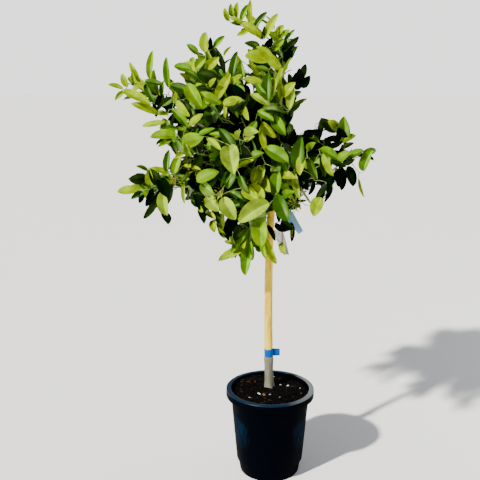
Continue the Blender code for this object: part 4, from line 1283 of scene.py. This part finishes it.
class Crown:
    """Everything that grows on the limbs: the space of the masses, the leaves, the twigs and the sprays."""

    def __init__(self, limbs):
        self.masses = [Mass(name, limbs) for name in MASSES]
        self.space = Space(self.masses, limbs)
        self.leaves = {slot: Leaves() for slot in SLOTS}
        self.twigs = {slot: Surface() for slot in SLOTS}
        self.middles = []
        self.sprays = []

    def take(self, middle):
        """Notes the middle of a leaf, which keeps others apart and shades them."""
        self.space.take(middle)
        self.middles.append(list(middle))

    def new_spray(self, tip, sun, level=None):
        """A spray in the green of its level, or of its mass and place where none is given."""
        self.sprays.append((list(tip), sun, level))
        return len(self.sprays) - 1

    def levels(self):
        """Each spray's green, from its mass's share of sun and how many leaves lie between it and the sun."""
        middles = np.array(self.middles)
        towards = np.array(SUNWARD.normalized())
        rng = random.Random(GREEN_SEED)
        least, most = SHADE_AHEAD
        found = []
        for tip, sun, level in self.sprays:
            if level is not None:
                found.append(level)
                continue
            gap = middles - np.array(tip)
            along = gap @ towards
            off = np.sqrt(np.maximum(0, (gap**2).sum(1) - along**2))
            covered = int(((along > least) & (along < most) & (off < SHADE_OFF)).sum())
            exposure = math.exp(-covered / SHADE_LEAVES)
            green = sun * SUN_GAIN + exposure * EXPOSURE_GAIN - GREEN_BASE + rng.gauss(0, SPRAY_JITTER)
            found.append(min(YOUNGEST, green))
        return found


def leaf_probes(root, direction, over, length):
    """The tip and the widest places of a leaf, which stay in its space, and more places all over it."""
    middle = root + direction * length * 0.5
    probes = [root + direction * length, middle + over, middle - over]
    places = [root + direction * length * share for share in PROBES_ALONG]
    places += [root + direction * length * share + over * side for share, side in PROBES_BESIDE]
    return np.array([list(p) for p in probes]), np.array([list(p) for p in probes + places])


class Growth:
    """Grows twigs and leaves within one mass, or on a limb inside the crown where no mass is given."""

    def __init__(self, crown, number, seed):
        self.crown = crown
        self.number = number
        self.mass = Inside if number is None else crown.masses[number]
        self.rng = random.Random(seed)

    def taper(self, line, thick, thin, index=0):
        """Adds a twig of one of the twig barks along a line."""
        last = len(line) - 1
        twigs = self.crown.twigs[self.mass.slot]
        twigs.tube(line, lambda k, a, p: thick + (thin - thick) * k / last, TWIG_SIDES, index)

    def blade(self, *shape):
        self.crown.leaves[self.mass.slot].add(*shape)

    def tilted(self, tangent, lean, angle, stand):
        """The direction that leans off a twig to one side, and stands or hangs as the mass does."""
        direction = tangent * math.cos(lean) + turned_side(tangent, angle) * math.sin(lean)
        return (direction + Vector((0, 0, self.mass.stand * stand))).normalized()

    def leaf(self, point, tangent, angle, spray, offset, size=1.0):
        """One leaf on a twig, turned round it until it has room: True where it finds it."""
        rng = self.rng
        space = self.crown.space
        size *= rng.choice(LEAF_SIZES) * rng.uniform(*LENGTH_JITTER)
        length = LEAF_LENGTH * size
        lean = math.radians(rng.uniform(*LEAF_LEAN))
        tilt = Vector([rng.gauss(0, LEAF_TILT) for _ in range(3)])
        fold = rng.uniform(*LEAF_FOLD) + YOUNG_FOLD * self.mass.young**2
        offset += rng.gauss(0, LEAF_JITTER)
        along, outward, upward = LEAF_FACING
        for turn in LEAF_TURNS:
            direction = self.tilted(tangent, lean, angle + turn, LEAF_STAND)
            normal = tangent * along + self.mass.outward * outward + Vector((0, 0, upward)) + tilt
            normal = (normal - direction * normal.dot(direction)).normalized()
            root = point + direction * PETIOLE
            middle = root + direction * length * 0.5
            over = normal.cross(direction) * length * LEAF_WIDTH * PROBE_WIDTH
            probes, places = leaf_probes(root, direction, over, length)
            if not space.owned(probes, self.number) or not space.open_view(places) or space.shades(places):
                continue
            if not space.free(middle, normal) or not space.off_limbs(probes, LEAF_CLEAR):
                continue
            self.crown.take(middle)
            petiole = [point, point + direction * PETIOLE * 0.5, root + direction * SEAT]
            self.taper(petiole, *PETIOLE_RADII)
            wide = LEAF_WIDTH * rng.uniform(*WIDTH_JITTER)
            self.blade(root, direction, normal, length, wide, fold, spray, offset, rng)
            return True
        return False

    def seen_leaf(self, x0, y0, x1, y1, width, green, depth):
        """A leaf that stands out in the photograph, turned to its width: its root and direction."""
        root = place_seen(x0, y0, depth)
        reach = place_seen(x1, y1, depth) - root
        to_eye = (Vector(CAMERA_PLACE) - root).normalized()
        scale = reach.length / math.hypot(x1 - x0, y1 - y0)
        least = SEEN_LEAST * (1 - SEEN_SHORTER * self.mass.young)
        fold = self.rng.uniform(*SEEN_FOLDS[green])
        across = width * scale / math.cos(math.atan(fold))
        length = max(reach.length * SEEN_STRETCH, least, across / WIDEST)
        direction = (reach + to_eye * math.sqrt(length**2 - reach.length**2)).normalized()
        flat = (to_eye - direction * to_eye.dot(direction)).normalized()
        wide = min(WIDEST, max(NARROWEST, across / length * SEEN_WIDER))
        turn = math.acos(min(FLATTEST, across / (length * wide)))
        over = direction.cross(flat)
        if (over.dot(SUNWARD) < 0) == (green >= FACING_GREEN):
            over = -over
        normal = flat * math.cos(turn) + over * math.sin(turn)
        middle = root + direction * length * 0.5
        self.crown.take(middle)
        spray = self.crown.new_spray(middle, self.mass.sun, green)
        limp = math.cos(turn) ** 2
        self.blade(root, direction, normal, length, wide, fold, spray, 0, self.rng, limp)
        return root, direction

    def seen_leaves(self, depth, rows):
        """The leaves that stand out in the photograph, each on a thin twig from the nearest one."""
        to_join = [self.seen_leaf(*row, depth - SEEN_STEP * k) for k, row in enumerate(rows)]
        twigs = list(self.mass.line)
        to_join.sort(key=lambda item: min((item[0] - point).length for point in twigs))
        for root, direction in to_join:
            start = min(twigs, key=lambda point: (root - point).length)
            bend = root - direction * (root - start).length * SEEN_TWIG_BEND
            line = bent_line(start, bend, root + direction * SEAT, SEEN_TWIG_STATIONS)
            self.taper(line, *SEEN_TWIG_RADII)
            twigs.extend(line[2:])

    def tuft(self, depth, x, y, radius, count):
        """A twig to a place in the photograph, with short stalks round its end, each with a bud."""
        rng = self.rng
        heart = place_seen(x, y, depth)
        start = min(self.mass.line, key=lambda point: (heart - point).length)
        bend = start.lerp(heart, 0.5) - Vector((0, 0, TUFT_SAG))
        twig = bent_line(start, bend, heart, TUFT_STATIONS)
        self.taper(twig, *SEEN_TWIG_RADII)
        for k in range(count):
            a = rng.uniform(0, 2 * math.pi)
            off = radius * math.sqrt(rng.random())
            place = depth + rng.uniform(-TUFT_DEPTH, TUFT_DEPTH)
            tip = place_seen(x + off * math.cos(a), y + off * math.sin(a), place)
            start = rng.choice(twig[-TUFT_ROOTS:])
            bend = start.lerp(tip, 0.5) + Vector([rng.gauss(0, TUFT_CROOK) for _ in range(3)])
            self.taper(bent_line(start, bend, tip, STALK_STATIONS), *STALK_RADII, k % 2)
            green = YOUNGEST - 1 if k % DARKER_BUD == DARKER_BUD - 1 else YOUNGEST
            spray = self.crown.new_spray(tip, self.mass.sun, green)
            length = rng.uniform(*BUD_LENGTH)
            way = (tip - start).normalized()
            self.blade(tip, way, turned_side(way, a), length, BUD_WIDTH, BUD_FOLD, spray, 0, rng)

    def dress(self, line, first, angle, spray):
        """Leaves along a twig, smaller and paler towards its tip, and two there: the last one's share."""
        last = 0.0
        young = self.mass.young
        count = max(2, round(length_of(line) * (1 - first) / (LEAF_STEP * self.mass.density)))
        for k, (point, tangent, share) in enumerate(stations(line, first, LAST_SHARE, count)):
            around = angle + k * GOLDEN_ANGLE
            size = 1.0 - YOUNG_SMALLER * share * young
            if self.leaf(point, tangent, around, spray, YOUNG_PALER * share * young, size):
                last = share
        point, tangent, share = stations(line, LAST_SHARE, END_SHARE, 2)[1]
        for k in range(2):
            around = angle + (count + k) * GOLDEN_ANGLE
            if self.leaf(point, tangent, around, spray, END_PALER * young, END_SIZE):
                last = share
        return last

    def side_twig(self, point, tangent, angle, reach, thick, fine):
        """A curved side twig with leaves and finer twigs, which ends at its last leaf: True if it has one."""
        space = self.crown.space
        lean = math.radians(self.rng.uniform(*TWIG_LEAN))
        for shorter in TWIG_SHORTER:
            for turn in TWIG_TURNS:
                direction = self.tilted(tangent, lean, angle + turn, TWIG_STAND)
                tip = point + direction * reach * shorter + Vector((0, 0, reach * shorter * TWIG_RISE))
                line = bent_line(point, point + direction * reach * shorter * 0.5, tip, TWIG_STATIONS)
                probes = np.array([list(p) for p in line[3:]])
                if space.owned(probes, self.number) and space.off_limbs(probes, TWIG_CLEAR):
                    return self.dress_twig(line, angle, reach * shorter, thick, fine)
        return False

    def dress_twig(self, line, angle, reach, thick, fine):
        """A side twig's finer twigs and leaves, and its wood as far as they go: True if it has any."""
        last = 0.0
        if fine:
            for k, (place, way, share) in enumerate(stations(line, *FINE_TWIGS)):
                around = angle + (k + 1) * FINE_TURN
                if self.side_twig(place, way, around, reach * FINE_REACH, thick * FINE_THICKNESS, False):
                    last = share
        spray = self.crown.new_spray(line[-1], self.mass.sun)
        last = max(last, self.dress(line, TWIG_BARE, angle, spray))
        if last:
            kept = line[: math.ceil(last * (len(line) - 1)) + 1]
            self.taper(kept, thick, TWIG_TIP_RADIUS)
        return last > 0

    def grow(self):
        """The whole of one mass."""
        mass = self.mass
        line = mass.line
        self.taper(line, STEM_RADIUS, STEM_TIP_RADIUS)
        count = max(4, round(length_of(line) / (STEM_STEP * mass.density)))
        angle = self.rng.uniform(0, 2 * math.pi)
        shorter = 1.0 - YOUNG_REACH * mass.young**3
        fine = mass.density < FINE_DENSITY
        for k, (point, tangent, share) in enumerate(stations(line, *STEM_TWIGS, count)):
            reach = mass.spread * (1.0 - TOP_REACH * share) * self.rng.uniform(*TWIG_REACH) * shorter
            self.side_twig(point, tangent, angle + k * GOLDEN_ANGLE, reach, TWIG_RADIUS, fine)
        self.dress(line, STEM_BARE, angle + 1.0, self.crown.new_spray(line[-1], mass.sun))

    def grow_spurs(self, line, first, last):
        """Short leafy twigs along a limb, inside the crown."""
        count = max(2, round(length_of(line) * (last - first) / SPUR_STEP))
        angle = self.rng.uniform(0, 2 * math.pi)
        for k, (point, tangent, _) in enumerate(stations(line, first, last, count)):
            reach = self.rng.uniform(*SPUR_REACH)
            self.side_twig(point, tangent, angle + k * GOLDEN_ANGLE, reach, TWIG_RADIUS, False)


def grow_crown(limbs):
    """The seen leaves and tufts first, then each mass's growth round them, then the spurs on the limbs."""
    crown = Crown(limbs)
    for number, mass in enumerate(crown.masses):
        if mass.name in SEEN_LEAVES:
            Growth(crown, number, SEEN_SEED + number).seen_leaves(*SEEN_LEAVES[mass.name])
    names = [mass.name for mass in crown.masses]
    for k, (name, *place) in enumerate(TUFTS):
        Growth(crown, names.index(name), TUFT_SEED + k).tuft(*place)
    for number in range(len(crown.masses)):
        Growth(crown, number, GROWTH_SEED + number).grow()
    for k, (name, limb) in enumerate(limbs.items()):
        first = TRUNK_SPUR_FIRST if name == "trunk" else SPUR_FIRST
        Growth(crown, None, SPUR_SEED + k).grow_spurs(limb.line, first, LAST_SHARE)
    return crown


def leaf_materials():
    """The greens, each for the blade and then for the paler rib."""
    smoothest, rougher = BLADE_ROUGHNESS
    lighter, added = RIB_LIGHTER
    materials = []
    for k, (colour, gloss, sheen) in enumerate(GREENS):
        materials.append(leaf_material(f"leaf_green_{k}", colour, smoothest + rougher * k, gloss, sheen))
        rib = tuple(min(1.0, c * lighter + added) for c in colour)
        materials.append(leaf_material(f"leaf_rib_{k}", rib, RIB_ROUGHNESS, gloss, sheen))
    return materials


def build_foliage(limbs):
    """All leaves and twigs, joined by the colour slot of their mass."""
    crown = grow_crown(limbs)
    greens = leaf_materials()
    barks = [bark_material(name, stops, TWIG_BARK_SCALE) for name, stops in TWIG_BARKS.items()]
    levels = crown.levels()
    for slot in SLOTS:
        blades = crown.leaves[slot].build(slot, greens, levels)
        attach(blades, "root")
        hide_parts(*[mass.name for mass in crown.masses if mass.slot == slot])
        stems = crown.twigs[slot].build(slot.replace("leaves", "twigs"), barks)
        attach(stems, "root")


def arc(centre, radius, start, end, count):
    """(radius, height) points on an arc about a centre, with angles in degrees."""
    angles = [math.radians(start + (end - start) * k / (count - 1)) for k in range(count)]
    return [(centre[0] + radius * math.cos(a), centre[1] + radius * math.sin(a)) for a in angles]


def wall_radius(height):
    share = (height - FOOT_HEIGHT) / (POT_HEIGHT - FOOT_HEIGHT)
    return WALL_RADIUS_LOW + (WALL_RADIUS_TOP - WALL_RADIUS_LOW) * share


def pot_outline():
    """(radius, height) from the underside's middle up to the lip, over it, and down inside to the mix."""
    skirt_foot = POT_HEIGHT - RIM_DROP
    skirt_head = skirt_foot + SKIRT_DEPTH
    under_lip = RIM_RADIUS - SKIRT_THICKNESS
    step_low, step_high = STEP_HEIGHTS
    outside = [(FOOT_MIDDLE, 0.0), (FOOT_RING, 0.0), (FOOT_RADIUS - FOOT_FLAT, 0.0)]
    outside += arc((FOOT_RADIUS - FOOT_ROUND, FOOT_ROUND), FOOT_ROUND, -90, 0, 5)
    outside += STEP_LINE
    outside += arc((STEP_LINE[-1][0] + STEP_ROUND, step_low), STEP_ROUND, 180, 110, 4)
    outside += arc((WALL_RADIUS_LOW - STEP_ROUND, step_high), STEP_ROUND, -60, 0, 4)
    outside += [(wall_radius(h), h) for h in (*WALL_HEIGHTS, skirt_head)]
    outside += [(under_lip, skirt_head), (under_lip, skirt_foot)]
    outside += arc((RIM_RADIUS - SKIRT_ROUND, skirt_foot + SKIRT_ROUND), SKIRT_ROUND, -90, 0, 4)
    lip = arc((RIM_RADIUS - LIP_ROUND, POT_HEIGHT - LIP_ROUND), LIP_ROUND, 0, 90, 6)
    inner = wall_radius(POT_HEIGHT) - WALL_THICKNESS
    inside = arc((inner + INNER_ROUND, POT_HEIGHT - INNER_ROUND), INNER_ROUND, 90, 180, 6)
    inside += [(wall_radius(INNER_FOOT) - WALL_THICKNESS, INNER_FOOT)]
    return outside, lip, inside


def build_pot():
    """The pot's shell turned about Z, its rim in a finish of its own, bluer as a painted reflection of the sky
    and with a painted highlight at its right.
    """
    outside, lip, inside = pot_outline()
    outline = [*outside, *lip, *inside]
    surface = Surface()
    for radius, height in outline:
        surface.ring(radius, POT_SIDES, lambda x, y: height)
    surface.rows(0, len(outline) - 1, POT_SIDES)
    surface.close_first_ring(POT_SIDES)
    rim_from = len(outside) * POT_SIDES
    rim_to = (len(outside) + len(lip) + INNER_RIM_ROWS) * POT_SIDES
    surface.indices[rim_from:rim_to] = [1] * (rim_to - rim_from)
    finishes = (pot_material("pot_black", *POT_BLACK), pot_material("pot_rim", *POT_RIM, RIM_PAINTED_HIGHLIGHT))
    pot = surface.build("pot_shell", finishes)
    pot.data.set_sharp_from_angle(angle=SHARP_ANGLE)
    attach(pot, "root")
    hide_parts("pot")


def soil_height(x, y):
    """The potting mix's surface: level round the trunk, lower at the wall, and lumpy."""
    radius = math.hypot(x, y)
    edge = wall_radius(SOIL_EDGE_HEIGHT) - WALL_THICKNESS
    share = min(1.0, max(0.0, (radius - SOIL_FLAT_RADIUS) / (edge - SOIL_FLAT_RADIUS)))
    level = SOIL_TOP_HEIGHT + (SOIL_EDGE_HEIGHT - SOIL_TOP_HEIGHT) * share
    lumps = sum(noise.noise(Vector((x * scale, y * scale, z))) * height for scale, z, height in SOIL_LUMPS)
    mound = MOUND_HEIGHT * math.exp(-(Vector((x, y)) - Vector(MOUND_PLACE)).length_squared / MOUND_SPREAD**2)
    return level - SOIL_SINK + lumps + mound


def lump(rng, centre, size, flat):
    """Eight corners and six faces of a small crooked block."""
    turn = Matrix.Rotation(rng.uniform(0, 2 * math.pi), 3, "Z")
    turn = turn @ Matrix.Rotation(rng.uniform(-LUMP_TILT, LUMP_TILT), 3, "X")
    corners = []
    for z in (-1, 1):
        for x, y in ((-1, -1), (1, -1), (1, 1), (-1, 1)):
            out = x * size * rng.uniform(*LUMP_LENGTHS)
            over = y * size * LUMP_WIDTH * rng.uniform(*LUMP_WIDTHS)
            corners.append(centre + turn @ Vector((out, over, z * size * flat)))
    faces = ((0, 3, 2, 1), (4, 5, 6, 7), (0, 1, 5, 4), (1, 2, 6, 5), (2, 3, 7, 6), (3, 0, 4, 7))
    return corners, faces


def on_soil(x, y):
    """The point of the potting mix that shows at a place in the photograph's frame."""
    eye = Vector(CAMERA_PLACE)
    ray = place_seen(x, y, 0.0) - eye
    place = eye + ray * ((SOIL_TOP_HEIGHT - eye.z) / ray.z)
    return Vector((place.x, place.y, soil_height(place.x, place.y) + CHIP_LIFT))


def add_chips(surface, edge):
    """Chips all over the potting mix, then the rust-brown patch, then the ones the photograph shows."""
    rng = random.Random(CHIP_SEED)
    for count, (small, large), flat, index in CHIP_KINDS:
        for _ in range(count):
            radius = (edge - CHIP_MARGIN) * math.sqrt(rng.random())
            a = rng.uniform(0, 2 * math.pi)
            x, y = radius * math.cos(a), radius * math.sin(a)
            size = rng.uniform(small, large)
            middle = Vector((x, y, soil_height(x, y) + size * flat * CHIP_RISE))
            surface.add(*lump(rng, middle, size / 2 * CHIP_STRETCH, flat), index)
    for _ in range(RUST_COUNT):
        x, y = (rng.gauss(middle, RUST_SPREAD) for middle in RUST_PLACE)
        size = rng.uniform(*RUST_LENGTHS)
        middle = Vector((x, y, soil_height(x, y) + size * RUST_RISE))
        surface.add(*lump(rng, middle, size, RUST_FLAT), RUST_COLOUR)
    for x, y, length, angle, index in SEEN_CHIPS:
        shape = Matrix.Diagonal([length / part for part in SEEN_CHIP_PARTS])
        turn = Matrix.Rotation(math.radians(angle), 3, "Z") @ shape
        corners, faces = lump(rng, Vector(), 1.0, 1.0)
        middle = on_soil(x, y)
        surface.add([middle + turn @ corner for corner in corners], faces, index)


def build_soil():
    """The lumpy top of the potting mix, with bark chips, pale chips and white specks on it."""
    edge = wall_radius(SOIL_EDGE_HEIGHT) - WALL_THICKNESS
    surface = Surface()
    for k in range(SOIL_RINGS + 1):
        surface.ring(max(SOIL_MIDDLE, edge * k / SOIL_RINGS), SOIL_SIDES, soil_height)
    surface.rows(0, SOIL_RINGS, SOIL_SIDES, flip=True)
    surface.close_first_ring(SOIL_SIDES)
    add_chips(surface, edge)
    materials = [soil_material(name, colour) for name, colour in SOIL_COLOURS.items()]
    soil = surface.build("potting_mix_top", materials, smooth=False)
    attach(soil, "root")
    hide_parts("potting_mix")


def dress_straps():
    """The marker tape and the labels keep their solids and take a film finish."""
    for name, (finish, stops, roughness) in FILMS.items():
        film = film_material(finish, stops, roughness)
        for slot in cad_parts[name].material_slots:
            slot.material = film


def link(name, data, place):
    made = bpy.data.objects.new(name, data)
    made.location = place
    bpy.context.scene.collection.objects.link(made)
    return made


def facing(direction):
    return direction.to_track_quat("-Z", "Y").to_euler()


def build_floor():
    """A pale floor that meets the pale surround."""
    corners = [Vector((x * FLOOR_HALF, y * FLOOR_HALF, 0.0)) for x, y in ((-1, -1), (1, -1), (1, 1), (-1, 1))]
    floor = add_mesh("floor", corners, [(0, 1, 2, 3)], [floor_material()], smooth=False)


def build_surround():
    world = bpy.data.worlds.new("pale_world")
    bpy.context.scene.world = world
    world.use_nodes = True
    nodes = Nodes(world.node_tree)
    height = nodes.axes(nodes.place("Generated"))[2]
    background = world.node_tree.nodes["Background"].inputs
    nodes.feed(background["Color"], nodes.ramp(height, SURROUND))
    background["Strength"].default_value = SURROUND_STRENGTH


def build_lights():
    """The sun from the upper left front, and a soft light at the right."""
    light = bpy.data.lights.new("key_light", "SUN")
    light.energy = KEY_STRENGTH
    light.angle = KEY_ANGLE
    light.color = KEY_COLOUR
    link("key_light", light, (0.0, 0.0, 0.0)).rotation_euler = facing(-SUNWARD)
    light = bpy.data.lights.new("side_light", "AREA")
    light.size = SIDE_SIZE
    light.energy = SIDE_POWER
    link("side_light", light, SIDE_PLACE).rotation_euler = facing(Vector(SIDE_AIM) - Vector(SIDE_PLACE))


def build_camera():
    """The camera at the photograph's view."""
    camera = bpy.data.cameras.new("camera")
    camera.lens = CAMERA_LENS
    camera.sensor_width = SENSOR
    eye = link("camera", camera, CAMERA_PLACE)
    eye.rotation_euler = (math.pi / 2 - CAMERA_PITCH, 0.0, 0.0)
    bpy.context.scene.camera = eye


def main():
    limbs = build_limbs()
    barks = [bark_material(name, stops) for name, stops in BARKS.items()]
    trunk = build_trunk(limbs["trunk"]).build("trunk_bark", barks)
    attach(trunk, "root")
    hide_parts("trunk")
    boughs = build_boughs(limbs).build("bough_bark", [bark_material("bark_brown", BOUGH_BARK)])
    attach(boughs, "root")
    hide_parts(*BOUGHS)
    build_foliage(limbs)
    build_pot()
    build_soil()
    dress_straps()
    build_floor()
    build_surround()
    build_lights()
    build_camera()


main()
